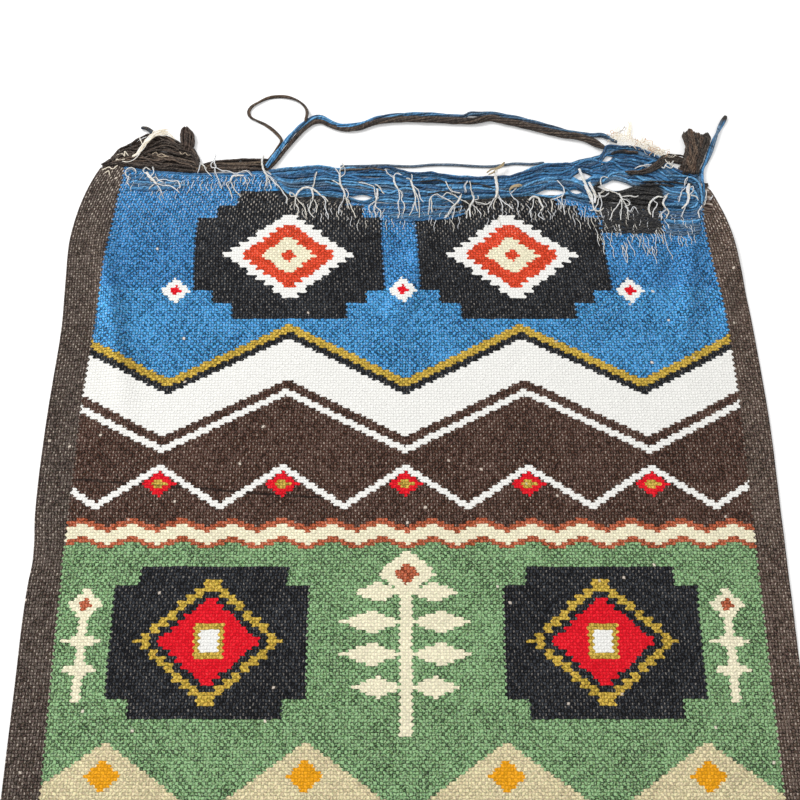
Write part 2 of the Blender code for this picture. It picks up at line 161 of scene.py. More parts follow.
SIDES = [
    # height up the cloth, left edge, right edge
    (-556, -369, 369),
    (-300, -370, 370),
    (-60, -370, 370),
    (40, -369, 370),
    (67, -366.5, 370),
    (110, -370, 370),
    (200, -370, 370),
    (250, -368, 368),
    (310, -365.5, 364.5),
    (360, -367, 360.5),
    (410, -368, 355),
    (440, -364, 348.5),
    (465, -358, 340.5),
    (485, -351, 331.5),
    (507, -341, 328),
]
WEAVE_END = [
    # x, y
    (-343, 502),
    (-328, 505),
    (-311, 499),
    (-277, 494),
    (-237, 491.5),
    (-187, 491.5),
    (-158, 492),
    (-145, 479),
    (-132, 464),
    (-97, 462),
    (-63, 458),
    (-36, 454),
    (3, 453),
    (36, 454),
    (61, 457),
    (103, 460),
    (170, 463),
    (202, 456),
    (235, 453),
    (263, 450),
    (301, 447),
    (320, 450),
    (331.2, 479),
]
FOLDS = [
    # start x, y, end x, y, sideways bow, height, half width
    (-341, 446, -286, 195, 2, 6.0, 12),
    (34, 470, -26, 292, 5, 4.0, 13),
    (310, 446, 290, 290, 3, 3.6, 10),
    (340, 410, 334, 270, 2, 3.0, 9),
    (282, 430, 258, 338, -3, 2.0, 11),
    (352, 470, 360, 350, -2, 3.5, 9),
    (-372, 78, -318, 54, 0, 2.6, 11),
]
FIELD_SIDES = [
    # height, inner edge of the left border, inner edge of the right border
    (-556, -335, 341),
    (-152, -335, 341),
    (65, -337, 341),
    (145, -336, 341),
    (230, -335, 341),
    (285, -332, 339),
    (342, -329, 335),
    (374, -327.5, 330.5),
    (402, -326, 327.5),
    (430, -323.5, 325.2),
    (452, -321.5, 325.4),
    (479, -318, 326),
    (507, -315, 326),
]
print("cloth", CLOTH_WIDE, "mm wide,", FLAT_TOP_Y - BOTTOM_Y, "mm long, with", len(FOLDS), "folds")

# %% Read the tables


def smooth(rows, distances, at):
    """The row at one distance, on a smooth curve through the rows of a table."""
    last = len(rows) - 1
    if at <= distances[0]:
        return Vector(rows[0])
    if at >= distances[last]:
        return Vector(rows[last])
    i = max(k for k in range(last) if distances[k] <= at)
    span = distances[i + 1] - distances[i]
    start, end = Vector(rows[i]), Vector(rows[i + 1])
    chord = (end - start) / span
    leave, arrive = chord, chord
    if i > 0:
        before = (start - Vector(rows[i - 1])) / (distances[i] - distances[i - 1])
        leave = (before + chord) / 2
    if i + 1 < last:
        after = (Vector(rows[i + 2]) - end) / (distances[i + 2] - distances[i + 1])
        arrive = (chord + after) / 2
    t = (at - distances[i]) / span
    ease = t * t * (3 - 2 * t)
    pull_out = t * (1 - t) ** 2 * span
    pull_in = t * t * (1 - t) * span
    return start.lerp(end, ease) + leave * pull_out - arrive * pull_in


def read(table, at):
    """The rest of a table's row at one value of its first column."""
    return smooth([row[1:] + (0,) for row in table], [row[0] for row in table], at)


def fold_height(x, y):
    """How far the folds lift the cloth off the table."""
    lift = 0.0
    for x0, y0, x1, y1, bow, height, half_width in FOLDS:
        start, chord = Vector((x0, y0)), Vector((x1 - x0, y1 - y0))
        offset = Vector((x, y)) - start
        t = offset.dot(chord) / chord.length_squared
        if 0 < t < 1:
            side = Vector((-chord.y, chord.x)).normalized()
            aside = offset.dot(side) - bow * 4 * t * (1 - t)
            ends = math.sin(math.pi * t) ** 0.7
            lift += height * ends * math.exp(-((aside / half_width) ** 2))
    return lift


def cloth_place(across, up):
    """Upper face of the cloth for a place on the flat, even cloth."""
    left_end, right_end = WEAVE_END[0][0], WEAVE_END[-1][0]
    share = across / CLOTH_WIDE + 0.5
    end_y = read(WEAVE_END, left_end + (right_end - left_end) * share)[0]
    bend = min(1, max(0, (up - BEND_FROM_Y) / (FLAT_TOP_Y - BEND_FROM_Y)))
    y = up + (end_y - FLAT_TOP_Y) * bend * bend
    left, right = read(SIDES, y)[:2]
    x = left + (right - left) * share
    if bend == 1:
        x = left_end + (right_end - left_end) * share
    return Vector((x, y, CLOTH_THICK + fold_height(x, y)))


print("the middle of the ragged end is at", [round(p) for p in cloth_place(0, FLAT_TOP_Y)])

# %% [markdown]
# ## The woven sheet
# One grid of faces is bent to that outline and given its thickness by Solidify. The grid
# is fine enough for folds and for the small unevenness of a hand-beaten cloth, while the
# weave itself, at 3 by 3 mm, is left to the material. Each point keeps its place on
# the flat cloth as a UV map in metres, so that the pattern follows the bends, and three
# numbers: how far it lies inside the brown borders, how loose the weave is there, and how
# much the side of a fold turns it away from the light.

# %% Make the cloth
FACES_ACROSS = 148
FACES_UP = 216
UNEVEN = 0.35  # height of the small bumps of a hand-beaten cloth
LOOSE_DEPTH = 60.0  # how far down from the ragged end the weave is loose
RIM_ROUND = 0.9  # rounding of the cloth's edges

bm = bmesh.new()
flat_map = bm.loops.layers.uv.new("flat_cloth")
inside = bm.verts.layers.float.new("inside_border")
loose = bm.verts.layers.float.new("looseness")
turned = bm.verts.layers.float.new("turned_away")
bmesh.ops.create_grid(bm, x_segments=FACES_ACROSS, y_segments=FACES_UP, size=0.5)
flat = {}
for vert in bm.verts:
    across = vert.co.x * CLOTH_WIDE
    up = BOTTOM_Y + (vert.co.y + 0.5) * (FLAT_TOP_Y - BOTTOM_Y)
    place = cloth_place(across, up)
    flat[vert] = Vector((across, place.y))
    bump = noise.noise(place / 34) + 0.5 * noise.noise(place / 11)
    place.z += UNEVEN * (1 + bump)
    left, right = read(FIELD_SIDES, place.y)[:2]
    vert[inside] = min(place.x - left, right - place.x)
    vert[loose] = max(0.0, 1 - (FLAT_TOP_Y - up) / LOOSE_DEPTH)
    # this number sets the painted shade and light on the sides of the folds in the material
    vert[turned] = (fold_height(place.x - 1, place.y) - fold_height(place.x + 1, place.y)) / 2
    vert.co = place
for face in bm.faces:
    for loop in face.loops:
        loop[flat_map].uv = flat[loop.vert] * MM
bmesh.ops.recalc_face_normals(bm, faces=bm.faces)
if sum(face.normal.z for face in bm.faces) < 0:
    bmesh.ops.reverse_faces(bm, faces=bm.faces)
bmesh.ops.scale(bm, vec=(MM, MM, MM), verts=bm.verts)
cloth_mesh = bpy.data.meshes.new("cloth")
bm.to_mesh(cloth_mesh)
bm.free()
cloth_mesh.shade_smooth()
cloth = bpy.data.objects.new("cloth", cloth_mesh)
scene.collection.objects.link(cloth)
thickness = cloth.modifiers.new("thickness", "SOLIDIFY")
thickness.thickness = CLOTH_THICK * MM
thickness.offset = -1
rim = cloth.modifiers.new("rim", "BEVEL")
rim.width = RIM_ROUND * MM
rim.segments = 2
rim.angle_limit = math.radians(50)
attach(cloth, "root")
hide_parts("woven_cloth")
print("cloth of", FACES_ACROSS, "by", FACES_UP, "faces")

# %% [markdown]
# ## The woven design
# A tapestry weaver builds a picture from blocks of colour that step from thread to thread.
# This cloth carries a plain traditional design: stepped boxes and diamonds on blue, a
# zigzag of gold, black and white over brown, medallions and leafy stems on green, and a
# row of peaks. Each row of the table is one block of colour, laid over the ones before it.
# Everything is mirrored about the middle, or repeated at the distance that a row gives.

# %% The blocks of colour
WOOLS = {
    # name: colour, how much its tone changes, how much warp shows between its wefts
    "green": ("#80a472", 0.74, 0.14),
    "blue": ("#3280bd", 0.84, 0.26),
    "light blue": ("#3c8ec9", 0.84, 0.26),
    "brown": ("#4b2d1e", 0.70, 0.38),
    "black": ("#101118", 0.62, 0.24),
    "white": ("#fbfaf5", 0.03, 0.00),
    "cream": ("#f8f0d0", 0.12, 0.02),
    "red": ("#e8061f", 0.16, 0.04),
    "orange": ("#e2441f", 0.34, 0.12),
    "rust": ("#b75a36", 0.46, 0.22),
    "gold": ("#cba83e", 0.40, 0.08),
    "beige": ("#e0d2a8", 0.26, 0.05),
    "yolk": ("#f2a50c", 0.16, 0.04),
    "border": ("#4e3f36", 0.70, 0.48),
    "right border": ("#5b483d", 0.70, 0.46),
}
DESIGN = [
    # shape, x, y, half width, half height, step, repeat, wool
    ("band", 0, 400, 0, 170, 0, 0, "blue"),
    ("band", 0, 288, 0, 66, 0, 0, "light blue"),
    ("box", 123.5, 396, 104, 44, 0, 0, "black"),
    ("box", 123.5, 396, 84, 60, 0, 0, "black"),
    ("box", 123.5, 396, 62, 76, 0, 0, "black"),
    ("diamond", 123.5, 394, 66, 50, 9, 0, "white"),
    ("diamond", 123.5, 394, 50, 38, 7, 0, "orange"),
    ("diamond", 123.5, 394, 27, 22, 5, 0, "cream"),
    ("diamond", 123.5, 394, 9, 8, 0, 0, "orange"),
    ("box", 0, 352, 8, 8, 0, 247, "white"),
    ("diamond", 0, 352, 16, 15, 0, 247, "white"),
    ("diamond", 0, 352, 7, 6, 0, 247, "red"),
    ("zigzag", 0, 252, 0, 62, 0, 247, "gold"),
    ("zigzag", 0, 243, 0, 62, 0, 247, "black"),
    ("zigzag", 0, 235, 0, 62, 0, 247, "white"),
    ("zigzag", 0, 190, 0, 62, 0, 247, "brown"),
    ("line", 0, 176, 3.6, 62, 0, 247, "white"),
    ("line", 61.75, 118, 3.6, 40, 0, 123.5, "white"),
    ("diamond", 0, 141, 17, 13, 0, 123.5, "red"),
    ("diamond", 0, 141, 8, 6, 0, 123.5, "gold"),
    ("zigzag", 0, 98, 0, 9, 0, 49.4, "rust"),
    ("zigzag", 0, 92, 0, 9, 0, 49.4, "cream"),
    ("zigzag", 0, 80, 0, 9, 0, 49.4, "rust"),
    ("zigzag", 0, 75, 0, 9, 0, 49.4, "green"),
    ("box", 188, -12, 94, 52, 0, 0, "black"),
    ("box", 188, -12, 72, 72, 0, 0, "black"),
    ("diamond", 188, -12, 66, 58, 8, 0, "gold"),
    ("diamond", 188, -12, 55, 48, 8, 0, "black"),
    ("diamond", 188, -12, 46, 40, 6, 0, "red"),
    ("box", 188, -12, 14, 16, 0, 0, "gold"),
    ("box", 188, -12, 9, 11, 0, 0, "white"),
    ("box", 0, -14, 6, 84, 0, 0, "cream"),
    ("diamond", 27, 34, 24, 10, 0, 0, "cream"),
    ("diamond", 33, 6, 30, 11, 0, 0, "cream"),
    ("diamond", 33, -24, 30, 11, 0, 0, "cream"),
    ("diamond", 27, -54, 24, 10, 0, 0, "cream"),
    ("diamond", 0, 52, 26, 22, 4, 0, "cream"),
    ("diamond", 0, 52, 13, 11, 0, 0, "rust"),
    ("box", 309, -26, 4, 42, 0, 0, "cream"),
    ("diamond", 309, 22, 15, 15, 4, 0, "cream"),
    ("diamond", 309, 22, 7, 7, 0, 0, "rust"),
    ("diamond", 309, -12, 19, 7, 0, 0, "cream"),
    ("diamond", 309, -38, 19, 7, 0, 0, "cream"),
    ("zigzag", 0, -166, 0, 64, 0, 185, "beige"),
    ("diamond", 92.5, -132, 17, 15, 0, 185, "yolk"),
    ("band", 0, -258, 0, 9, 0, 0, "rust"),
    ("band", 0, -258, 0, 4, 0, 0, "cream"),
    ("band", 0, -392, 0, 125, 0, 0, "green"),
    ("diamond", 61.75, -330, 46, 40, 8, 123.5, "black"),
    ("diamond", 61.75, -330, 27, 23, 6, 123.5, "gold"),
    ("diamond", 61.75, -330, 15, 13, 0, 123.5, "red"),
    ("zigzag", 0, -456, 0, 40, 0, 123.5, "brown"),
    ("line", 0, -452, 3.6, 40, 0, 123.5, "white"),
    ("band", 0, -540, 0, 24, 0, 0, "border"),
]
print(len(DESIGN), "blocks of colour in", len(WOOLS), "wools")

# %% [markdown]
# ## Weft-faced wool on cotton warp
# The common name is tapestry weave. The eye sees three things in it: rows of soft wool
# bumps set like bricks, small pale dashes where a cotton warp shows between two bumps, and
# a heather of darker and lighter fibres, because the wool was dyed in the fleece. Where
# two colours meet up the cloth they interlock, so the join runs in small teeth.

# %% The weave's own coordinates
WARP_PITCH = 3.0
PICK_PITCH = 3.0
TOOTH = 1.2  # half the depth of the teeth where two colours meet
BUMP_DEPTH = 0.7  # relief of the weave

cloth_finish, tree, shader = new_finish("wool tapestry weave")
uv = add(tree, "UVMap", uv_map="flat_cloth")
in_mm = add(tree, "VectorMath", uv, None, None, 1 / MM, operation="SCALE")
# no hand-beaten row is quite straight, so the coordinates wander, slowly and then quickly
drift = add(tree, "TexNoise", in_mm, None, 0.03, 1.0).outputs["Color"]
drifted = add(tree, "VectorMath", drift, (2.2, 1.6, 0.0), in_mm, operation="MULTIPLY_ADD")
waver = add(tree, "TexNoise", in_mm, None, 0.22, 1.0).outputs["Color"]
drifted = add(tree, "VectorMath", waver, (2.6, 1.9, 0.0), drifted, operation="MULTIPLY_ADD")
across, up = add(tree, "SeparateXYZ", drifted).outputs[:2]
# a pick is one row of weft, and a cell is one bump of wool, with random traits of its own
warp = add(tree, "Math", across, WARP_PITCH, operation="DIVIDE")
pick = add(tree, "Math", up, PICK_PITCH, operation="DIVIDE")
pick_number = add(tree, "Math", pick, operation="FLOOR")
warp_number = add(tree, "Math", warp, operation="FLOOR")
cell = add(tree, "CombineXYZ", warp_number, pick_number)
cell_chance = add(tree, "TexWhiteNoise", cell, noise_dimensions="2D").outputs["Color"]
cell_tone, cell_lean, cell_speck = add(tree, "SeparateColor", cell_chance).outputs[:3]
# each bump leans a little, and the next row is half a turn on, so the bumps lie like bricks
row_part = add(tree, "Math", pick, operation="FRACT")
row_part = add(tree, "Math", row_part, 0.5, operation="SUBTRACT")
lean = add(tree, "MapRange", cell_lean, 0.0, 1.0, -0.75, 0.75)
leaning = add(tree, "Math", row_part, lean, warp, operation="MULTIPLY_ADD")
half_turns = add(tree, "Math", leaning, pick_number)
half_turns = add(tree, "Math", half_turns, math.pi, operation="MULTIPLY")
swing = add(tree, "Math", half_turns, operation="SINE")
over_warp = add(tree, "Math", swing, operation="ABSOLUTE")
row_turns = add(tree, "Math", pick, math.pi, operation="MULTIPLY")
wave = add(tree, "Math", row_turns, operation="SINE")
row_round = add(tree, "Math", wave, operation="ABSOLUTE")
toothed = add(tree, "Math", wave, TOOTH, across, operation="MULTIPLY_ADD")
row_up = add(tree, "Math", pick_number, PICK_PITCH, operation="MULTIPLY")
print("warp and weft every", WARP_PITCH, "and", PICK_PITCH, "mm")

# %% Lay the blocks of colour


def block(shape, x, y, wide, high, step, repeat):
    """A mask that is 1 inside one block of the design."""
    if shape == "band":
        return add(tree, "Math", row_up, y, high, operation="COMPARE")
    if repeat:
        shifted = add(tree, "Math", toothed, x, operation="SUBTRACT")
        aside = add(tree, "Math", shifted, repeat / 2, operation="PINGPONG")
    else:
        mirrored = add(tree, "Math", toothed, operation="ABSOLUTE")
        shifted = add(tree, "Math", mirrored, x, operation="SUBTRACT")
        aside = add(tree, "Math", shifted, operation="ABSOLUTE")
    if shape == "zigzag":
        edge = add(tree, "Math", aside, high * 2 / repeat, y, operation="MULTIPLY_ADD")
        return add(tree, "Math", row_up, edge, operation="LESS_THAN")
    if shape == "line":
        edge = add(tree, "Math", aside, high * 2 / repeat, y, operation="MULTIPLY_ADD")
        return add(tree, "Math", row_up, edge, wide, operation="COMPARE")
    shifted = add(tree, "Math", row_up, y, operation="SUBTRACT")
    apart = add(tree, "Math", shifted, operation="ABSOLUTE")
    if shape == "box":
        beside = add(tree, "Math", aside, wide, operation="LESS_THAN")
        level = add(tree, "Math", apart, high, operation="LESS_THAN")
        return add(tree, "Math", beside, level, operation="MULTIPLY")
    if step:
        aside = add(tree, "Math", aside, step, operation="SNAP")
    level = add(tree, "Math", apart, 1 / high, operation="MULTIPLY")
    reach = add(tree, "Math", aside, 1 / wide, level, operation="MULTIPLY_ADD")
    return add(tree, "Math", reach, 1.0, operation="LESS_THAN")


def nature(wool):
    """A wool's change of tone and show of warp, as one value for a mix."""
    return (*WOOLS[wool][1:], 0.0, 1.0)


colour = add(tree, "RGB")
colour.outputs[0].default_value = linear(WOOLS["green"][0])
traits = add(tree, "RGB")
traits.outputs[0].default_value = nature("green")
for *sizes, wool in DESIGN:
    mask = block(*sizes)
    colour = add(tree, "MixRGB", mask, colour, linear(WOOLS[wool][0]))
    traits = add(tree, "MixRGB", mask, traits, nature(wool))
edge_place = add(tree, "Attribute", attribute_name="inside_border").outputs["Fac"]
edge_place = add(tree, "Math", wave, TOOTH, edge_place, operation="MULTIPLY_ADD")
in_border = add(tree, "Math", edge_place, 0.0, operation="LESS_THAN")
at_right = add(tree, "Math", across, 0.0, operation="GREATER_THAN")
border_wools = [linear(WOOLS[wool][0]) for wool in ("border", "right border")]
border_colour = add(tree, "MixRGB", at_right, *border_wools)
colour = add(tree, "MixRGB", in_border, colour, border_colour)
traits = add(tree, "MixRGB", in_border, traits, nature("border"))
change, showing = add(tree, "SeparateColor", traits).outputs[:2]
print("design of", len(tree.nodes), "nodes")

# %% Bumps and heather
# the heather is made of flecks in each bump and of slow clouds in the dye
fleck_up = add(tree, "Math", up, 0.6, operation="MULTIPLY")
fleck_place = add(tree, "CombineXYZ", leaning, fleck_up)
fleck_place = add(tree, "VectorMath", fleck_place, (2.5, 1.3, 1.0), operation="MULTIPLY")
fleck = add(tree, "TexNoise", fleck_place, None, 1.0, 2.0, 0.7).outputs[0]
cloud = add(tree, "TexNoise", in_mm, None, 0.02, 3.0).outputs[0]

# the weft is highest over a warp, and every second bump lies lower
even = add(tree, "MapRange", swing, -0.3, 0.3, 0.0, 1.0)
under = add(tree, "Math", 1.0, even, operation="SUBTRACT")
weft_bump = add(tree, "Math", over_warp, row_round, operation="MULTIPLY")
weft_bump = add(tree, "Math", weft_bump, 0.5, operation="POWER")
bump_height = add(tree, "Math", under, -0.7, weft_bump, operation="MULTIPLY_ADD")

# flecks, each cell's own tone and clouds add up to the change of tone, and the bump's height adds
# painted shade to the gaps and painted light to the tops
mixed = add(tree, "MapRange", fleck, 0.3, 0.7, -1.3, 1.3)
cell_change = add(tree, "Math", cell_tone, 0.5, operation="SUBTRACT")
mixed = add(tree, "Math", cell_change, 1.05, mixed, operation="MULTIPLY_ADD")
mixed = add(tree, "Math", add(tree, "MapRange", cloud, 0.3, 0.7, -0.25, 0.25), mixed)
# painted shade in the gaps between bumps and painted light on their tops
mixed = add(tree, "Math", add(tree, "MapRange", bump_height, -0.55, 0.8, -1.3, 0.7), mixed)
tone = add(tree, "Math", mixed, change, 1.0, operation="MULTIPLY_ADD")
lit = add(tree, "MapRange", tone, 1.0, 1.75, 0.0, 1.0).outputs[0]
tone = add(tree, "Math", tone, 0.12, operation="MAXIMUM")
tone = add(tree, "Math", tone, 1.15, operation="MINIMUM")
# a heather's fibres also differ in hue, and its palest ones look almost white; the same mix toward pale
# paints the highlights on the bump tops
hue_noise = add(tree, "TexNoise", in_mm, None, 0.6, 1.0).outputs["Color"]
hue = add(tree, "VectorMath", hue_noise, (1.2, 1.2, 1.2), (0.4, 0.4, 0.4), operation="MULTIPLY_ADD")
hued = add(tree, "VectorMath", colour, hue, operation="MULTIPLY")
fibres = add(tree, "MixRGB", change, colour, hued)
shaded = add(tree, "VectorMath", fibres, None, None, tone, operation="SCALE")
paler, added = (1.6, 1.65, 1.6), (0.047, 0.053, 0.058)
pale_fibre_and_highlight = add(tree, "VectorMath", colour, paler, added, operation="MULTIPLY_ADD")
shaded = add(tree, "MixRGB", lit, shaded, pale_fibre_and_highlight)
# one bump in a thousand carries a pale speck
speck = add(tree, "Math", cell_speck, 0.999, operation="GREATER_THAN")
speck = add(tree, "Math", speck, weft_bump, operation="MULTIPLY")
speck_share = add(tree, "Math", change, 1.4, operation="MULTIPLY")
speck = add(tree, "Math", speck, speck_share, operation="MULTIPLY")
shaded = add(tree, "MixRGB", speck, shaded, linear("#fdeedd"))
print("heather of", len(tree.nodes), "nodes")

# %% Dashes of warp
# more warp shows where the weave is loose, but none in the wools that hide it wholly
looseness = add(tree, "Attribute", attribute_name="looseness").outputs["Fac"]
show = add(tree, "Math", looseness, 0.75, showing, operation="MULTIPLY_ADD")
may_show = add(tree, "Math", showing, 0.005, operation="GREATER_THAN")
show = add(tree, "Math", show, may_show, operation="MULTIPLY")
# a dash stands upright between two bumps, and is about 1 mm wide and 2 mm long
upright = add(tree, "Math", warp, pick_number)
upright = add(tree, "Math", upright, math.pi, operation="MULTIPLY")
upright = add(tree, "Math", upright, operation="SINE")
dash_across = add(tree, "MapRange", upright, -0.72, -0.97, 0.0, 1.0)
shortness = add(tree, "Math", looseness, -0.5, 0.3, operation="MULTIPLY_ADD")
dash_up = add(tree, "MapRange", row_round, shortness, 0.55, 0.0, 1.0)
dash = add(tree, "Math", dash_across.outputs[0], dash_up.outputs[0], operation="MULTIPLY")
dash = add(tree, "Math", dash, show, operation="MULTIPLY")
dash_tone = add(tree, "Math", cell_tone, 1.9, 0.1, operation="MULTIPLY_ADD")
dash = add(tree, "Math", dash, dash_tone, operation="MULTIPLY")
dash_fleck = add(tree, "MapRange", fleck, 0.35, 0.6, 0.3, 1.3)
dash = add(tree, "Math", dash, dash_fleck, operation="MULTIPLY", use_clamp=True)
# wool hairs tint the cotton that they lie on
paler, added = (1.6, 1.6, 1.6), (0.30, 0.29, 0.27)
thread_colour = add(tree, "VectorMath", colour, paler, added, operation="MULTIPLY_ADD")
thread_colour = add(tree, "MixRGB", 0.7, linear("#f6e6d0"), thread_colour)
woven = add(tree, "MixRGB", dash, shaded, thread_colour)
print("the warp shows as dashes of 1 by 2 mm")

# %% Painted crease shade, painted fold light and shade, relief and sheen
CREASE = ((-330, 147), (-78, 128))  # where the pressed crease starts and ends
CREASE_HALF_WIDE = 1.2
# painted light and shade on the folds: the wool is painted paler on the side toward the lamp and darker
# on the side away from it
FOLD_PAINTED_LIGHT = 1.18  # how much paler the wool is on the side of a fold toward the light
FOLD_PAINTED_SHADE = 0.55  # and how dark on the side away from it
slope = (CREASE[1][1] - CREASE[0][1]) / (CREASE[1][0] - CREASE[0][0])
middle_up = CREASE[0][1] - slope * CREASE[0][0]  # height of its line at the cloth's middle
crease_line = add(tree, "Math", across, slope, middle_up, operation="MULTIPLY_ADD")
painted_crease_shade = add(tree, "Math", up, crease_line, CREASE_HALF_WIDE, operation="COMPARE")
middle = (CREASE[0][0] + CREASE[1][0]) / 2
along_crease = add(tree, "Math", across, middle, CREASE[1][0] - middle, operation="COMPARE")
painted_crease_shade = add(tree, "Math", painted_crease_shade, along_crease, operation="MULTIPLY")
painted_crease_shade = add(tree, "Math", painted_crease_shade, change, operation="MULTIPLY")
# painted shade: the crease is not modelled, so the shade in it is painted as a dark line
woven = add(tree, "MixRGB", painted_crease_shade, woven, linear("#120c0a"))
# painted shade and light: the side of a fold turned away from the lamp is darkened, the side toward it
# lightened
turned_away = add(tree, "Attribute", attribute_name="turned_away").outputs["Fac"]
painted_fold_light_and_shade = add(tree, "MapRange", turned_away, -0.4, 0.5, FOLD_PAINTED_LIGHT, FOLD_PAINTED_SHADE).outputs[0]
painted_fold_share = add(tree, "Math", change, 1.6, operation="MULTIPLY", use_clamp=True)
painted_fold_light_and_shade = add(tree, "MixRGB", painted_fold_share, (1, 1, 1, 1), painted_fold_light_and_shade)
woven = add(tree, "VectorMath", woven, painted_fold_light_and_shade, operation="MULTIPLY")

fibre = add(tree, "TexNoise", in_mm, None, 1.6, 2.0).outputs[0]
relief = add(tree, "Math", fibre, 0.3, bump_height, operation="MULTIPLY_ADD")
bumped = add(tree, "Bump", 0.8, BUMP_DEPTH * MM, None, relief)
tree.links.new(woven.outputs[0], shader.inputs["Base Color"])
tree.links.new(bumped.outputs[0], shader.inputs["Normal"])
shader.inputs["Roughness"].default_value = 0.95
shader.inputs["Sheen Weight"].default_value = 0.06
shader.inputs["Sheen Roughness"].default_value = 0.5
shader.inputs["Specular IOR Level"].default_value = 0.2
cloth_mesh.materials.append(cloth_finish)
print("weave of", len(tree.nodes), "nodes")

# %% [markdown]
# ## Yarn
# The loose wefts are handspun wool, soft and a little uneven. One function lays a yarn:
# it rolls a flat grid into a tube along a line of points, with its ends drawn to a point
# and its seam merged. The grid's own UV map becomes millimetres along the yarn and turns
# around it, so the material can draw the twist, and a colour on its points is its dye.
# Every chance below starts from one seed, so each run lays the same yarns.

# %% Lay one yarn
TIP = 0.8  # thickness of a yarn next to its ends, as a share of the whole
SEED = 11  # the same yarns in every run

chance = random.Random(SEED)
noise.seed_set(SEED)  # without it the vector noise starts from the clock


def along(rows):
    """Running distance at each row of a route."""
    distances = [0.0]
    for here, there in zip(rows, rows[1:]):
        distances.append(distances[-1] + (Vector(there) - Vector(here)).length)
    return distances


def route(rows, step):
    """Evenly spaced points on the smooth curve through the rows of a route."""
    distances = along(rows)
    count = max(3, round(distances[-1] / step))
    return [smooth(rows, distances, distances[-1] * k / count) for k in range(count + 1)]


def start_yarn():
    """An empty bmesh with the layers that every yarn fills."""
    bm = bmesh.new()
    bm.loops.layers.uv.new("along_yarn")
    bm.verts.layers.float_color.new("dye")
    return bm


def lay_yarn(bm, points, thick, dye, sides=6):
    """Rolls a grid into a tube along the points, with ends that close."""
    blunt = min(0.5, 0.25 * thick / (points[1] - points[0]).length)
    first, last = points[0].lerp(points[1], blunt), points[-1].lerp(points[-2], blunt)
    points = [points[0], first, *points[1:-1], last, points[-1]]
    rings = len(points) - 1
    made = bmesh.ops.create_grid(bm, x_segments=rings, y_segments=sides, size=0.5, calc_uvs=True)
    verts = made["verts"]
    twist_map = bm.loops.layers.uv["along_yarn"]
    dyed = bm.verts.layers.float_color["dye"]
    length = along(points)[-1]
    for face in {face for vert in verts for face in vert.link_faces}:
        for loop in face.loops:
            loop[twist_map].uv = (loop.vert.co.x + 0.5) * length, loop.vert.co.y + 0.5
    for vert in verts:
        i = round((vert.co.x + 0.5) * rings)
        turn = (vert.co.y + 0.5) * 2 * math.pi
        run = (points[min(i + 1, rings)] - points[max(i - 1, 0)]).normalized()
        side = run.cross(Vector((0.02, 0.03, 1))).normalized()
        radius = thick / 2 * (1 + 0.12 * noise.noise(points[i] / 6))
        if i in (0, rings):
            radius = 0
        elif i in (1, rings - 1):
            radius *= TIP
        vert.co = points[i] + (side * math.cos(turn) + run.cross(side) * math.sin(turn)) * radius
        vert[dyed] = dye
    bmesh.ops.remove_doubles(bm, verts=verts, dist=0.001)


def tinted(code, spread=0.16):
    """A wool's colour with the small change that each yarn has."""
    tone = 1 + chance.uniform(-spread, spread)
    return (*(min(1, c * tone) for c in linear(code)[:3]), 1)


def end_yarns(bm, name, finish):
    """Ends a bmesh of yarns as one piece in metres, its faces pointing out."""
    bmesh.ops.recalc_face_normals(bm, faces=bm.faces)
    bmesh.ops.scale(bm, vec=(MM, MM, MM), verts=bm.verts)
    mesh = bpy.data.meshes.new(name)
    bm.to_mesh(mesh)
    bm.free()
    mesh.shade_smooth()
    mesh.materials.append(finish)
    piece = bpy.data.objects.new(name, mesh)
    scene.collection.objects.link(piece)
    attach(piece, "root")
    print(name, "has", sum(len(p.vertices) - 2 for p in mesh.polygons), "triangles")
    return piece


# %% [markdown]
# ## Handspun wool and cotton thread
# Woollen yarn is spun from carded fleece, so its fibres lie every way and scatter the
# light: it is matt, with a faint halo that sheen gives. Two plies twist around each other
# once in 9 mm, which draws a slanting groove; the shade in that groove and on the yarn's
# sides is painted shade, and its pale hairs, strongest on top, are also painted highlights.
# Cotton warp is smoother, harder and thinner, with a tight twist once in 3 mm. Carded
# cotton has no twist at all, and it is so open that light goes through it, which a weak
# warm glow stands for.

# %% Finish of the yarns
WOOL_TURN = 9.0
COTTON_TURN = 3.0
FLUFF_GLOW = 0.22


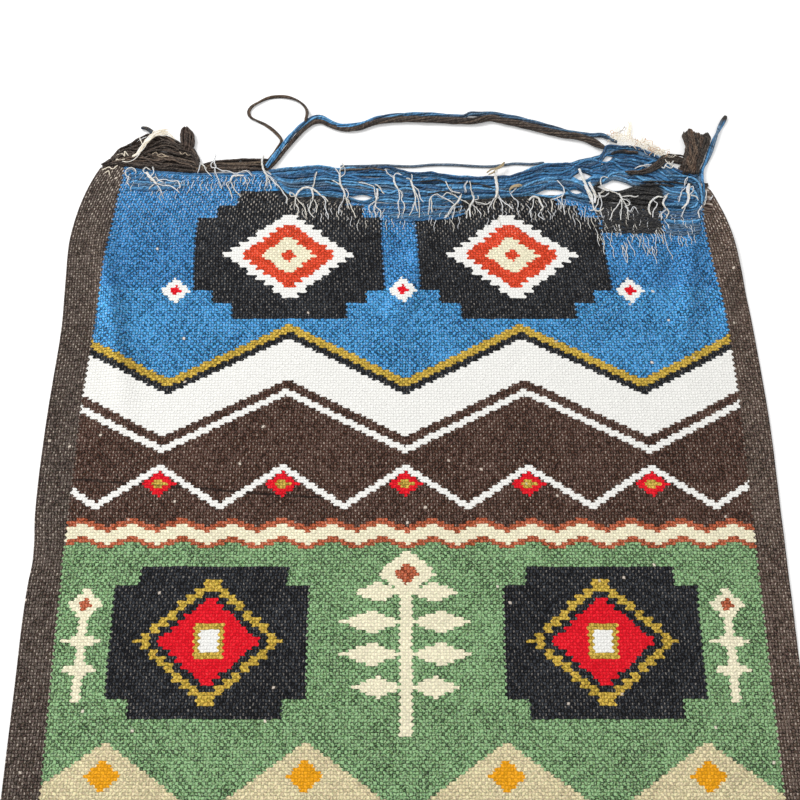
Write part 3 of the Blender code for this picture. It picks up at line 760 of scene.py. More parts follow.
def yarn_finish(name, turn_mm, groove_shade, side_shade, fleck, sheen):
    """A twisted yarn: dye from the mesh, a slanting groove and sides in painted shade, and pale fibre
    flecks that are also painted highlights.
    """
    finish, tree, shader = new_finish(name)
    uv = add(tree, "UVMap", uv_map="along_yarn")
    run, around = add(tree, "SeparateXYZ", uv).outputs[:2]
    phase = add(tree, "Math", run, 1 / turn_mm, around, operation="MULTIPLY_ADD")
    angle = add(tree, "Math", phase, 2 * math.pi, operation="MULTIPLY")
    wave = add(tree, "Math", angle, operation="SINE")
    ply = add(tree, "Math", wave, operation="ABSOLUTE")
    ply = add(tree, "Math", ply, 0.5, operation="POWER")
    place = add(tree, "TexCoord").outputs["Object"]
    in_mm = add(tree, "VectorMath", place, None, None, 1 / MM, operation="SCALE")
    own = add(tree, "VectorMath", in_mm, (0.02, 0.05, 0.0), operation="DOT_PRODUCT").outputs["Value"]
    short_run = add(tree, "Math", run, 0.2, operation="MULTIPLY")
    turns = add(tree, "Math", phase, 4.0, operation="MULTIPLY")
    streak_place = add(tree, "CombineXYZ", short_run, turns, own)
    streak = add(tree, "TexNoise", streak_place, None, 1.0, 3.0).outputs[0]
    hair_place = add(tree, "VectorMath", streak_place, (1.7, 2.1, 3.0), operation="MULTIPLY")
    hair = add(tree, "TexNoise", hair_place, None, 1.0, 2.0).outputs[0]
    patch = add(tree, "TexNoise", in_mm, None, 0.13, 2.0).outputs[0]
    tone = add(tree, "MapRange", streak, 0.3, 0.7, 1 - 0.55 * fleck, 1 + 0.6 * fleck).outputs[0]
    patch_tone = add(tree, "MapRange", patch, 0.3, 0.7, -0.3, 0.3).outputs[0]
    tone = add(tree, "Math", patch_tone, fleck, tone, operation="MULTIPLY_ADD")
    # painted shade in the groove between the two plies
    painted_groove_shade = add(tree, "Math", ply, groove_shade, 1 - groove_shade, operation="MULTIPLY_ADD")
    tone = add(tree, "Math", tone, painted_groove_shade, operation="MULTIPLY")
    # painted shade on the sides of a yarn, where the fibres of its neighbours shade it
    angle = add(tree, "Math", around, -2 * math.pi, operation="MULTIPLY")
    top = add(tree, "Math", angle, operation="SINE")
    painted_side_shade = add(tree, "MapRange", top, -0.1, 0.8, 1 - side_shade, 1.0).outputs[0]
    tone = add(tree, "Math", tone, painted_side_shade, operation="MULTIPLY")
    dye = add(tree, "Attribute", attribute_name="dye").outputs["Color"]
    colour = add(tree, "VectorMath", dye, None, None, tone, operation="SCALE")
    # pale hairs, strongest on the yarn's top, where they are also a painted highlight
    pale_fibre_and_highlight = add(tree, "VectorMath", dye, (1.5, 1.5, 1.5), (0.12, 0.11, 0.09), operation="MULTIPLY_ADD")
    pale_hair_and_highlight = add(tree, "MapRange", hair, 0.52, 0.66, 0.0, 0.85 * fleck).outputs[0]
    pale_hair_and_highlight = add(tree, "Math", pale_hair_and_highlight, painted_side_shade, operation="MULTIPLY")
    colour = add(tree, "MixRGB", pale_hair_and_highlight, colour, pale_fibre_and_highlight)
    relief = add(tree, "Math", streak, 0.6, ply, operation="MULTIPLY_ADD")
    bump = add(tree, "Bump", 0.8, 0.5 * MM, None, relief)
    tree.links.new(colour.outputs[0], shader.inputs["Base Color"])
    tree.links.new(bump.outputs[0], shader.inputs["Normal"])
    shader.inputs["Roughness"].default_value = 0.9
    shader.inputs["Sheen Weight"].default_value = sheen
    shader.inputs["Sheen Roughness"].default_value = 0.6
    return finish


wool_yarn = yarn_finish("handspun wool yarn", WOOL_TURN, 0.40, 0.80, 1.0, 0.06)
cotton_thread = yarn_finish("cotton warp thread", COTTON_TURN, 0.2, 0.25, 0.12, 0.1)
cotton_fluff = yarn_finish("carded cotton fluff", COTTON_TURN, 0.0, 0.0, 0.05, 0.4)
glow = cotton_fluff.node_tree.nodes["Principled BSDF"]
glow.inputs["Emission Color"].default_value = linear("#fff0d8")
glow.inputs["Emission Strength"].default_value = FLUFF_GLOW
print("finishes of wool yarn, cotton thread and cotton fluff")

# %% [markdown]
# ## The loose blue wefts
# Where the warp has been drawn out, a weft is held by nothing. It keeps the crimp of the
# weave as small waves and lies beside its neighbours like hair. A bundle is drawn from its
# two edges: each yarn keeps its own share of the way from one edge to the other, and
# drifts a little, so that yarns cross and cover each other in layers. Where the bundle
# opens, its yarns are pushed aside in the shape of a lens, and the table shows.

# %% Bundles of yarn
BLUE_WEFTS = [
    # x at the near edge, x and y at the far edge
    (-140, -156, 500),
    (-130, -140, 501.3),
    (-112, -119, 503.5),
    (-90, -98, 505),
    (-78, -80, 502.5),
    (-48, -49, 503),
    (-20, -20, 502.5),
    (-4, -4, 496.5),
    (28, 28, 495.5),
    (48, 48, 492.5),
    (96, 96, 490.5),
    (114, 114, 491),
    (129, 129, 496),
    (143, 142, 503),
    (154, 151, 506),
    (166, 163, 507),
    (182, 178, 508.5),
    (197, 193, 511.8),
    (211, 208, 515),
    (222, 219, 519),
    (228, 224.5, 531),
    (240, 241, 530.4),
    (251, 254, 530.4),
    (262, 265, 527.6),
    (271, 274, 524),
    (280, 283.5, 517),
    (290, 293, 505),
    (302, 306, 497),
    (315, 322, 494),
    (323, 327.5, 490),
]
PARTINGS = [
    # x, y, length, height, turn in degrees
    (-49, 463.6, 26, 6.0, 3),
    (160, 470.6, 36, 6.4, 8),
    (187, 471.8, 12, 5.4, 0),
    (195, 491.5, 20, 9.0, 5),
    (224.5, 513, 13, 4.8, 25),
    (231, 478.5, 42, 12.0, 0),
]
BLUES = ["#377bad", "#2a6594", "#1d4c75", "#5a9bca", "#265a80", "#3f749b", "#4d6b86"]
BUNDLE_STEP = 2.8  # distance between the rings of a yarn in a bundle
BLACK_TOP = [
    # x, height up to which the wefts there are black
    (200, 468),
    (206, 478),
    (214, 484),
    (219, 476),
    (228, 472),
    (243, 477),
    (258, 481),
    (276, 481.5),
    (286, 468),
]
print("blue band of", len(BLUE_WEFTS), "rows with", len(PARTINGS), "openings")

# %% Lay a bundle


def end_of_weave(x):
    """Height of the weave's ragged end at one place across."""
    return read([(row[0], row[1]) for row in WEAVE_END], x)[0]


def clear_of_partings(points, room):
    """Moves a yarn aside, all on one side, where the wefts have opened."""
    points = [Vector(point) for point in points]
    for x, y, length, height, turn in PARTINGS:
        angle = math.radians(turn)
        ahead = Vector((math.cos(angle), math.sin(angle)))
        aside = Vector((-ahead.y, ahead.x))
        near = []
        for i, point in enumerate(points):
            offset = Vector((point.x - x, point.y - y))
            u = offset.dot(ahead) / (length / 2 + 2 * room)
            if abs(u) < 1:
                near.append((i, u, offset.dot(aside)))
        side = math.copysign(1, sum(v for i, u, v in near))
        for i, u, v in near:
            edge = (height / 2 + room) * math.cos(u * math.pi / 2) ** 1.2
            if v * side < 2.2 * edge:
                # yarns near the opening crowd together, the nearest move most
                squeezed = edge + max(0, v * side) * (1 - 1 / 2.2)
                move = aside * (squeezed * side - v)
                points[i] += Vector((move.x, move.y, 0))
    return points


def bundle(bm, rows, count, thick, low, dyes, drift=0.5, crimp=0.5, start=0, end=0, parted=False):
    """Yarns side by side between two edges: near x, near y, far x, far y, lift.

    A yarn can be shorter by up to start and end, and drift is how far it wanders aside.
    """
    margin = 0.007 * low  # a higher layer lies a little further in
    for k in range(count):
        own = chance.uniform(0, 100)
        middle = []
        for x0, y0, x1, y1, *lift in rows:
            share = (k + 0.5 + drift * noise.noise(Vector((x0 / 45, own, 0)))) / count
            share = min(1 - margin, max(margin, share))
            middle.append((x0 + (x1 - x0) * share, y0 + (y1 - y0) * share, low + sum(lift)))
        first = chance.uniform(0, start)
        last = chance.uniform(0, end)
        points = route(middle, BUNDLE_STEP)
        points = points[int(first / BUNDLE_STEP) : len(points) - int(last / BUNDLE_STEP)]
        if len(points) < 5:
            continue
        placed = []
        for point in points:
            wave = noise.noise_vector(Vector((point.x / 8, point.y / 8, own))) * crimp
            wave.y += 1.3 * crimp * noise.noise(Vector((point.x / 19, point.y / 40, low)))
            wave.z = 0.6 * noise.noise(Vector((point.x / 12, own, 3)))
            placed.append(Vector(point) + wave)
        if parted:
            placed = clear_of_partings(placed, thick / 2 + 0.2)
        lay_yarn(bm, placed, thick, tinted(chance.choice(dyes)))


def fade(bm, code, share):
    """Leads the dye of all yarns toward one colour, by a share for each place."""
    dyed = bm.verts.layers.float_color["dye"]
    for vert in bm.verts:
        vert[dyed] = Vector(vert[dyed]).lerp(Vector(linear(code)), min(1, max(0, share(vert.co))))


def from_weave(rows, away):
    """Full rows of a bundle whose near edge follows the end of the weave."""
    return [(x, end_of_weave(x) + away, far_x, far_y) for x, far_x, far_y in rows]


def single(bm, rows, thick, dye, crimp=0.5, step=3.0, sides=6):
    """One yarn or thread along a given line."""
    own = chance.uniform(0, 100)
    placed = []
    for point in route(rows, step):
        wave = noise.noise_vector(Vector((point.x / 5, point.y / 5, own))) * crimp
        placed.append(Vector(point) + Vector((wave.x, wave.y, 0.4 * wave.z)))
    lay_yarn(bm, placed, thick, dye, sides=sides)


print("bundles of", YARN, "mm yarn")

# %% Loose blue wefts
DARK_WEFTS = [
    # yarns of other colours that lie among the blue: thickness, colour, line
    (3.4, "#17161a", (228, 517.4, 5.6), (233, 519.2, 6.8), (240, 520.6, 7.0), (246, 519.4, 6.6),
     (252, 518.6, 5.4)),
    (3.6, "#3d2a1f", (240, 521.6, 6.4), (250, 519.8, 6.8), (259, 519.6, 6.0)),
    (2.4, "#15171c", (262, 482.4, 5.6), (280, 482.6, 6.2), (300, 481.0, 6.0), (318, 479.6, 5.0)),
    (2.6, "#1c1f26", (264, 478.6, 5.8), (280, 478.8, 6.2), (296, 476.6, 5.4)),
    (2.0, "#14181f", (14, 483.2, 4.4), (23, 483.5, 5.8), (31, 484.6, 6.0), (39, 483.1, 5.6),
     (46, 480.5, 4.4)),
    (2.0, "#14181f", (54, 482.2, 4.4), (61, 481.6, 5.8), (73, 480.3, 6.0), (84, 478.4, 5.6),
     (96, 474.5, 4.4)),
    (1.8, "#1f2226", (22, 467.4, 4.4), (31, 468.8, 5.6), (39, 470.2, 5.8), (47, 469.4, 5.4),
     (58, 466, 4.4)),
    (2.4, "#574b40", (-76, 497, 4.6), (-66, 498.0, 5.6), (-52, 498.4, 5.8), (-35, 499.2, 5.4),
     (-22, 497, 4.4)),
    (2.8, "#3c5168", (-58, 502.0, 4.6), (-44, 502.6, 4.8), (-30, 502.4, 4.6), (-14, 500.6, 3.8)),
]
CORNER_WEFTS = [
    # blue yarns that turn down around the corner of the weave
    [(288, 490.5, 5.0), (306, 489.6, 5.4), (317, 487, 5.8), (323.6, 480, 5.6), (325.2, 469, 5.4),
     (324.4, 455, 5.0)],
    [(294, 485.0, 5.0), (310, 484.2, 5.4), (317.6, 479.5, 5.8), (321.4, 470, 5.4), (321.8, 456, 5.0)],
    [(325.6, 494, 4.6), (326.6, 487, 5.4), (328.2, 480, 5.6), (328.0, 470, 5.6), (326.8, 458, 5.0)],
    [(298, 475.5, 5.0), (310, 475, 5.4), (318, 469.5, 5.6), (320.5, 458, 5.2)],
]
WIDE_FROM = 14  # row of the table from which the band is wider and has more yarns


def blackness(co):
    """How black the loose wefts are at one place."""
    return min((read(BLACK_TOP, co.x)[0] - co.y) / 1.2, (co.x - 203) / 3, (285 - co.x) / 3)


bm = start_yarn()
blue_rows = from_weave(BLUE_WEFTS, 5.0)
bundle(bm, blue_rows, 13, YARN, 1.6, BLUES, parted=True, start=2, end=2, crimp=0.9)
bundle(bm, blue_rows, 13, YARN, 3.4, BLUES, drift=1.3, parted=True, start=10, end=10, crimp=1.0)
bundle(bm, blue_rows, 6, YARN, 4.8, BLUES, drift=2.6, parted=True, start=60, end=60, crimp=1.1)
wide_rows = blue_rows[WIDE_FROM:]
bundle(bm, wide_rows, 27, YARN, 1.5, BLUES, parted=True, crimp=0.9, start=8)
bundle(bm, wide_rows, 17, YARN, 3.2, BLUES, drift=2.0, parted=True, crimp=1.0, start=40, end=8)
for line in CORNER_WEFTS:
    single(bm, line, YARN, tinted(chance.choice(BLUES)))
fade(bm, "#15161a", blackness)
for thick, dye, *line in DARK_WEFTS:
    single(bm, line, thick, tinted(dye))
blue_wefts = end_yarns(bm, "loose_blue_wefts", wool_yarn)
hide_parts("blue_wefts")

# %% [markdown]
# ## The loose brown wefts
# The borders were woven in the undyed brown of the fleece. At the left their wefts have
# arched up into a hump, with a flat band beside it; at the right they gather into a short
# tuft. They are bundles too, read from the same kind of table. In a tuft each yarn doubles
# back at the top, as it did around the outermost warp, so its end is a rounded loop.

# %% Hump and band
LEFT_BROWN_WEFTS = [
    # near x and y, far x and y
    (-338, 503.5, -341.5, 503.0),
    (-330, 505.5, -334, 510.5),
    (-316, 504.0, -321.5, 523.5),
    (-303, 502.0, -309, 533.0),
    (-293, 500.5, -299.5, 540.0),
    (-278, 499.0, -286, 545.6),
    (-268, 498.0, -274, 544.6),
    (-259, 497.4, -264, 537.8),
    (-249, 496.8, -254, 531.2),
    (-240, 496.4, -242, 527.5),
    (-234.5, 496.0, -235.8, 517),
    (-231, 496.0, -232, 503),
]
BROWN_BAND = [
    (-236, 496.5, -236, 500),
    (-226, 497.0, -228, 505.5),
    (-214, 497.4, -214, 510.2),
    (-187, 498.0, -187, 511.4),
    (-159, 499.0, -158, 513.0),
    (-155, 499.6, -153.6, 511.6),
]
BROWNS = ["#46372d", "#352922", "#56463a", "#2a201b", "#3d3029"]
TAN_CURLS = [
    # pale hairs that lie on the hump
    [(-285, 515.5, 8.8), (-280, 517.6, 9.2), (-278, 514.5, 9.2), (-273.5, 516, 9.0),
     (-268, 512.8, 8.8), (-265, 513.2, 8.4)],
    [(-279, 514, 9.0), (-274, 511.5, 9.0), (-268, 512.5, 8.8)],
    [(-254, 519, 8.8), (-251.5, 515.5, 9.0), (-248, 517.6, 8.8), (-245, 514.5, 8.6), (-242, 515, 8.2)],
]
bm = start_yarn()
bundle(bm, LEFT_BROWN_WEFTS, 19, YARN, 1.6, BROWNS, crimp=0.8)
bundle(bm, LEFT_BROWN_WEFTS, 14, 2.6, 3.8, BROWNS, drift=2.2, crimp=1.3, start=6, end=8)
bundle(bm, LEFT_BROWN_WEFTS, 12, 2.3, 5.6, BROWNS, drift=3.0, crimp=1.5, start=22, end=22)
bundle(bm, LEFT_BROWN_WEFTS, 7, 2.2, 7.0, BROWNS, drift=3.6, crimp=1.6, start=60, end=50)
for line in TAN_CURLS:
    single(bm, line, 0.9, tinted("#c2b098"), crimp=0.8, step=1.6, sides=5)
hump = end_yarns(bm, "brown_hump", wool_yarn)
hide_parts("left_brown_wefts")

bm = start_yarn()
bundle(bm, BROWN_BAND, 5, 3.3, 1.7, BROWNS)
bundle(bm, BROWN_BAND, 6, 2.6, 3.8, [*BROWNS, "#74634f"], drift=1.2, start=4, end=1, crimp=0.8)
bundle(bm, BROWN_BAND, 2, 2.4, 5.2, BROWNS, drift=2.2, start=20, end=6, crimp=0.9)
band = end_yarns(bm, "brown_band_yarns", wool_yarn)
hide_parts("brown_band")

# %% Places of the right-hand wefts and the tufts
RIGHT_ARCH = [
    # near x and y, far x and y, lift over the blue wefts
    (242, 492.6, 242, 495.0, 4.6),
    (256, 491.6, 256, 495.4, 5.0),
    (269, 493.0, 268, 499.2, 4.8),
    (280, 498.6, 277, 506.6, 4.2),
    (288.5, 506.0, 285.6, 515.2, 2.4),
    (297, 509.0, 297, 518.6, 0.6),
    (309.5, 506.6, 310, 516.4, 0),
    (319, 503.0, 320, 514, 0),
]
RIGHT_FOOT = [
    (302, 497.0, 303, 501.0),
    (310, 496.0, 310, 506),
    (320, 495.0, 320, 507),
    (325, 495, 326, 503),
]
RIGHT_TUFT = [
    # the two sides of a tuft from its foot to its top
    (322.6, 491.6, 305.2, 492.6),
    (327.2, 501.9, 307.6, 506.1),
    (331.0, 512.5, 315.4, 515.6),
    (336.6, 525.3, 314.4, 526.6),
    (341.0, 533.9, 310.9, 535.4),
    (342.3, 540.6, 310.6, 543.6),
    (339, 547, 313.4, 549.6),
]
TUFT_BROWNS = [*BROWNS, "#5e4434", "#5c4838", "#3a2418"]
RIGHT_LAYERS = [
    # height, loops, how far up the shortest loop goes
    (1.6, 11, 0.97),
    (3.4, 11, 0.95),
    (5.2, 10, 0.88),
    (7.0, 9, 0.78),
    (8.6, 8, 0.66),
]
RIGHT_PARTING = 0.36  # the right tuft parts here into two lobes
LEFT_TUFT = [
    (-243.5, 519, -252.5, 523),
    (-240.6, 528, -254.0, 531),
    (-240.4, 535, -255.4, 538),
    (-241.6, 543.6, -255.4, 544.7),
    (-245.4, 548.5, -253.0, 550.0),
    (-248.0, 552.6, -250.4, 553.2),
]
LEFT_LAYERS = [
    (2.4, 4, 0.9),
    (4.4, 4, 0.88),
    (6.4, 3, 0.85),
    (8.0, 2, 0.8),
]
LEFT_PARTING = 0.001  # before the first loop, so the left tuft has one lobe
LOWER_LOBE = 0.06  # how much lower the lobe before the parting ends
print("tufts in", len(RIGHT_LAYERS), "and", len(LEFT_LAYERS), "layers")

# %% Lay the right-hand wefts and the tufts


def looped_tuft(bm, rows, loops, thick, low, wide, shortest, dyes, parting):
    """Yarns that rise between two edges, double back at the top and come down."""
    for k in range(loops):
        share = (k + chance.uniform(0.3, 0.7)) / loops
        out, back = share - wide / 2, share + wide / 2
        if share < parting:
            lobe, lower = share / parting, LOWER_LOBE
        else:
            lobe, lower = (share - parting) / (1 - parting), 0
        # the top of each lobe is round
        top = chance.uniform(shortest, 1.0) * (1 - lower - 0.15 * abs(2 * lobe - 1) ** 3)
        stations = [(0.0, out), (0.3, out), (0.6, out), (top - 0.07, out), (top, share)]
        stations += [(top - 0.07, back), (0.55, back), (0.1, back)]
        line = []
        for far, aside in stations:
            at = far * (len(rows) - 1)
            i = min(int(at), len(rows) - 2)
            row = Vector(rows[i]).lerp(Vector(rows[i + 1]), at - i)
            aside = min(0.95, max(0.05, aside))
            x = row[0] + (row[2] - row[0]) * aside
            y = row[1] + (row[3] - row[1]) * aside
            line.append((x, y, low + (1.0 if aside > share else 0.0)))
        single(bm, line, thick, tinted(chance.choice(dyes), 0.3), crimp=1.5, step=2.2)


bm = start_yarn()
bundle(bm, RIGHT_ARCH, 4, 2.6, 1.5, BROWNS, start=26, crimp=0.8)
bundle(bm, RIGHT_ARCH, 6, 2.2, 3.2, BROWNS, drift=2.0, start=30, crimp=1.0)
bundle(bm, RIGHT_FOOT, 3, YARN, 2.0, BROWNS)
bundle(bm, RIGHT_FOOT, 4, 2.6, 4.0, BROWNS, start=4, drift=1.5)
right_wefts = end_yarns(bm, "right_brown_yarns", wool_yarn)
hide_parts("right_brown_wefts")

bm = start_yarn()
for low, loops, shortest in RIGHT_LAYERS:
    looped_tuft(bm, RIGHT_TUFT, loops, 2.4, low, 0.09, shortest, TUFT_BROWNS, RIGHT_PARTING)
# dark streaks run up the tuft
fade(bm, "#0f0906", lambda co: 0.42 + 1.2 * noise.noise(Vector((co.x / 2, co.y / 14, co.z / 3))))
tuft = end_yarns(bm, "right_tuft_yarns", wool_yarn)
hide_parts("right_tuft")

bm = start_yarn()
for low, loops, shortest in LEFT_LAYERS:
    looped_tuft(bm, LEFT_TUFT, loops, 2.5, low, 0.22, shortest, BROWNS, LEFT_PARTING)
fade(bm, "#3a2318", lambda co: 0.5)
small_tuft = end_yarns(bm, "left_tuft_yarns", wool_yarn)
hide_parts("left_tuft")

# %% [markdown]
# ## The long loose yarns
# Two bundles have sprung from the edge and lie in a long arch on the table, and a few
# single yarns wander off. Each follows its own line of places. A bundle is a few strands
# that turn slowly about that line, which is why the blue one shows along the brown one.

# %% Lines of the loose yarns
BLUE_YARNS = [
    (-157.4, 500.8, 6.2), (-152.2, 508.4, 6.6), (-143.4, 522.2, 6.6), (-136.2, 533.8, 6.2),
    (-129.0, 544.2, 5.6), (-121.8, 553.0, 5.2), (-113.4, 560.8, 4.8), (-106.0, 565.8, 4.4),
    (-98.5, 566.0, 5.4), (-90.8, 562.4, 5.4), (-83.2, 557.4, 5.4), (-73.7, 555.0, 5.2),
    (-53.4, 557.0, 4.6), (-33, 566.0, 3.8), (-8, 570.0, 3.2), (21, 571.6, 2.8),
    (55, 568.8, 2.8), (66, 569, 2.8), (70, 571.8, 2.8), (83.3, 571.8, 2.8),
    (94.7, 572.9, 2.8), (111.6, 569.6, 2.8), (135.9, 563.4, 2.8), (161.9, 555.3, 2.8),
    (180.4, 548.8, 2.8), (195.3, 545.6, 2.8), (210.2, 544.0, 3.0), (221.4, 543.4, 3.4),
    (228.6, 539.1, 3.8), (237, 533.6, 4.4),
]
BROWN_YARNS = [
    (-157.0, 499.4, 3.0), (-151.2, 505.6, 3.0), (-146.3, 511.4, 3.0), (-138.6, 523.0, 3.0),
    (-130.6, 534.8, 3.0), (-122.8, 545.0, 3.0), (-115.0, 554.4, 3.0), (-106.4, 561.0, 3.0),
    (-98.6, 562.4, 3.0), (-90.7, 559.0, 3.2), (-75.5, 552.8, 3.2), (-53.4, 554.0, 3.4),
    (-37, 560.5, 3.6), (-8, 564.2, 4.0), (26, 563.8, 4.2), (55, 562.2, 4.2),
    (77, 562.2, 4.2), (94.5, 565.6, 4.2), (111.3, 561.8, 4.2), (135.5, 555.6, 4.2),
    (161.5, 547.8, 4.2), (180.1, 543.2, 4.2), (195.1, 540.6, 4.2), (206.1, 536.6, 4.2),
    (216.8, 529.8, 4.4), (222.5, 526.8, 4.0),
]
BROWN_LOOP = [
    (-158, 505.5, 3.0), (-154.0, 513.5, 3.2), (-147.6, 524.6, 3.2), (-142.0, 536.8, 2.6),
    (-148.4, 547.4, 1.9), (-160.6, 558.0, 1.7), (-170.3, 563.4, 1.7), (-179.1, 569.2, 1.7),
    (-181.0, 575.8, 1.7), (-177.8, 582.5, 1.7), (-169.6, 588.7, 1.7), (-160.3, 593.6, 1.7),
    (-150.8, 595.8, 1.7), (-137.5, 595.4, 1.7), (-125.9, 590.9, 1.7), (-118.0, 583.6, 2.2),
    (-113.9, 573.6, 5.4), (-113.7, 565.6, 8.2), (-115.4, 558.4, 8.0),
]
STRAY_WEFT = [
    (-75.2, 504.4, 1.9), (-46.6, 504.8, 1.8), (-23.8, 505.6, 1.7), (-13.5, 505.0, 1.7),
    (4.8, 504.4, 1.7), (27.7, 506.4, 1.7), (50.5, 506.4, 1.7), (73.3, 504.8, 1.7),
    (92.7, 504.2, 1.8), (109.5, 506.2, 1.8), (118.8, 507.8, 1.7), (141.0, 507.4, 1.7),
    (154, 509.4, 1.8),
]
BLUE_END = [
    (325.8, 480, 6.0), (326.4, 487, 5.2), (327.6, 494, 3.8), (330.4, 501.6, 3.0),
    (336.1, 511.8, 2.6), (342.7, 527.2, 2.6), (350.1, 544.5, 2.6), (356.6, 557.5, 2.6),
    (361.6, 565.5, 2.4), (364.0, 570.2, 2.2),
]
SPRUNG_BLUES = ["#377bad", "#5f9dcb", "#1f5078", "#4f8cbb"]
LOOSE_YARNS = [
    # name, line, thickness in all, strands, strand thickness, offset, offset at the
    # start, slot, dyes, far end
    ("blue_yarns", BLUE_YARNS, 5.0, 4, 2.4, 1.5, 1.6, "blue_wool", SPRUNG_BLUES, "object"),
    ("brown_yarns", BROWN_YARNS, 8.0, 6, 2.6, 2.6, 0.8, "brown_wool", BROWNS, "object"),
    ("brown_loop", BROWN_LOOP, 3.0, 2, 2.4, 0.8, 0.8, "brown_wool", ["#54402f", "#3a2c22"], "object"),
    ("stray_weft", STRAY_WEFT, 3.0, 1, 3.1, 0.0, 0.0, "blue_wool", ["#56697c"], "object"),
    ("blue_end", BLUE_END, 4.0, 2, 3.4, 1.4, 1.4, "blue_wool", ["#4585b8", "#54718c"], "bare"),
]
STRAND_TURN = 95.0  # length in which a bundle's strands turn once
OPENING = 220.0  # length over which they move from their first to their full offset
CLOSING = 12.0  # length at the end over which they draw together
print(len(LOOSE_YARNS), "loose yarns")

# %% Lay the loose yarns


def strands(bm, line, count, thick, offset, first_offset, dyes, turn_length=STRAND_TURN, sides=8):
    """Strands that turn about one line and draw together at its end."""
    distances = along(line)
    for k in range(count):
        start = 2 * math.pi * k / count
        placed = []
        for i, point in enumerate(line):
            here = distances[i]
            turn = start + 2 * math.pi * here / turn_length
            spread = first_offset + (offset - first_offset) * min(1, here / OPENING)
            spread *= min(1, 0.3 + (distances[-1] - here) / CLOSING)
            away = spread * (1 + 0.3 * noise.noise(Vector((here / 22, start, 0))))
            run = (line[min(i + 1, len(line) - 1)] - line[max(i - 1, 0)]).normalized()
            side = run.cross(Vector((0, 0, 1))).normalized()
            lift = Vector((0, 0, math.sin(turn) * away))
            placed.append(point + side * (math.cos(turn) * away) + lift)
        lay_yarn(bm, placed, thick, tinted(dyes[k % len(dyes)]), sides=sides)


for name, rows, whole, count, thick, offset, first_offset, slot, dyes, far_end in LOOSE_YARNS:
    line = route(rows, 3.0)
    bm = start_yarn()
    strands(bm, line, count, thick, offset, first_offset, dyes)
    if name == "blue_end":  # its tip is dark
        fade(bm, "#35302d", lambda co: (co.y - 556) / 8)
    if name == "blue_yarns":  # and these grow greyer toward the right
        fade(bm, "#3f4c5a", lambda co: min(0.65, (co.x + 60) / 220))
    piece = end_yarns(bm, name + "_strands", wool_yarn)
    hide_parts(name)
    middle = [tuple(point * MM) for point in line]

# %% [markdown]
# ## Last wefts and warp ends
# The warp is cotton. Two last wefts lie along the edge of the weave, and here and there a
# few more have risen out of it. Above them the warp threads stand free. Someone has tied
# them in small groups: a few threads leave the weave, lean together, wind into a thick
# stub, and end in one or two curls. Each thread here is listed as its own line, because no
# two knots are alike.

# %% Last wefts along the edge
EDGE_ZONES = [
    # from x, to x, dyes: the last wefts follow the colours of the weave
    (-341, -316, [WOOLS["border"][0]]),
    (-318, -142, BLUES),
    (-145, -61, ["#17181c"]),
    (-64, 62, BLUES),
    (60, 176, ["#1b1a1c", "#3a322c"]),
    (173, 202, BLUES),
    (200, 284, ["#15161a", "#202126"]),
    (281, 328, BLUES),
    (326, 335, [WOOLS["border"][0]]),
]
LOOSE_ROWS = [
    # dyes, yarns, how much shorter a yarn can be, then near x and y, far x and y
    (BLUES, 11, 0.22,
     (-316, 470, -317, 495), (-296, 472, -297, 492), (-272, 473, -272, 489), (-245, 477, -245, 488)),
    (BLUES, 8, 0.3,
     (-40, 438, -36, 452), (-10, 434, -8, 451), (22, 434, 22, 452), (50, 438, 52, 454),
     (64, 444, 66, 456)),
    (["#17181c", "#202228"], 18, 0.1,
     (207, 422, 205, 457), (225, 421, 224, 455), (250, 420, 250, 453), (283, 419, 281, 450)),
    (BLUES, 14, 0.15,
     (281, 419, 282, 450), (298, 417, 298, 449), (312, 417, 313, 449), (322, 420, 324, 453)),
]
DIVE = 2.0  # how far an end of such a yarn goes down into the weave

bm = start_yarn()
for start, end, dyes in EDGE_ZONES:
    for away in (0.6, 3.0):
        line = []
        for k in range(round((end - start) / 3) + 1):
            x = start + k * 3
            here, there = (Vector((x + s, end_of_weave(x + s), 0)) for s in (-1, 1))
            run = (there - here).normalized()
            out = Vector((-run.y, run.x, 0))
            wave = 0.5 * noise.noise(Vector((x / 5, away, 0)))
            line.append(here.lerp(there, 0.5) + out * (away + wave) + Vector((0, 0, 1.9 + wave)))
        lay_yarn(bm, line, 3.0, tinted(chance.choice(dyes)))
for dyes, count, shorter, *rows in LOOSE_ROWS:
    for k in range(count):
        share = (k + 0.5) / count
        line = []
        for near_x, near_y, far_x, far_y in rows:
            x, y = near_x + (far_x - near_x) * share, near_y + (far_y - near_y) * share
            line.append((x, y, CLOTH_THICK + fold_height(x, y) + 0.8))
        # each row comes out of the weave, and dives back, at a place of its own
        points = route(line, 3.0)
        first = int(chance.uniform(0, shorter) * len(points))
        last = len(points) - int(chance.uniform(0, shorter) * len(points))
        points = [tuple(point) for point in points[first:last]]
        points[0] = points[0][:2] + (points[0][2] - DIVE,)
        points[-1] = points[-1][:2] + (points[-1][2] - DIVE,)
        single(bm, points, 2.5, tinted(chance.choice(dyes), 0.24), crimp=1.6, step=2.6)
last_rows = end_yarns(bm, "last_wefts", wool_yarn)
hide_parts("warp_ends")

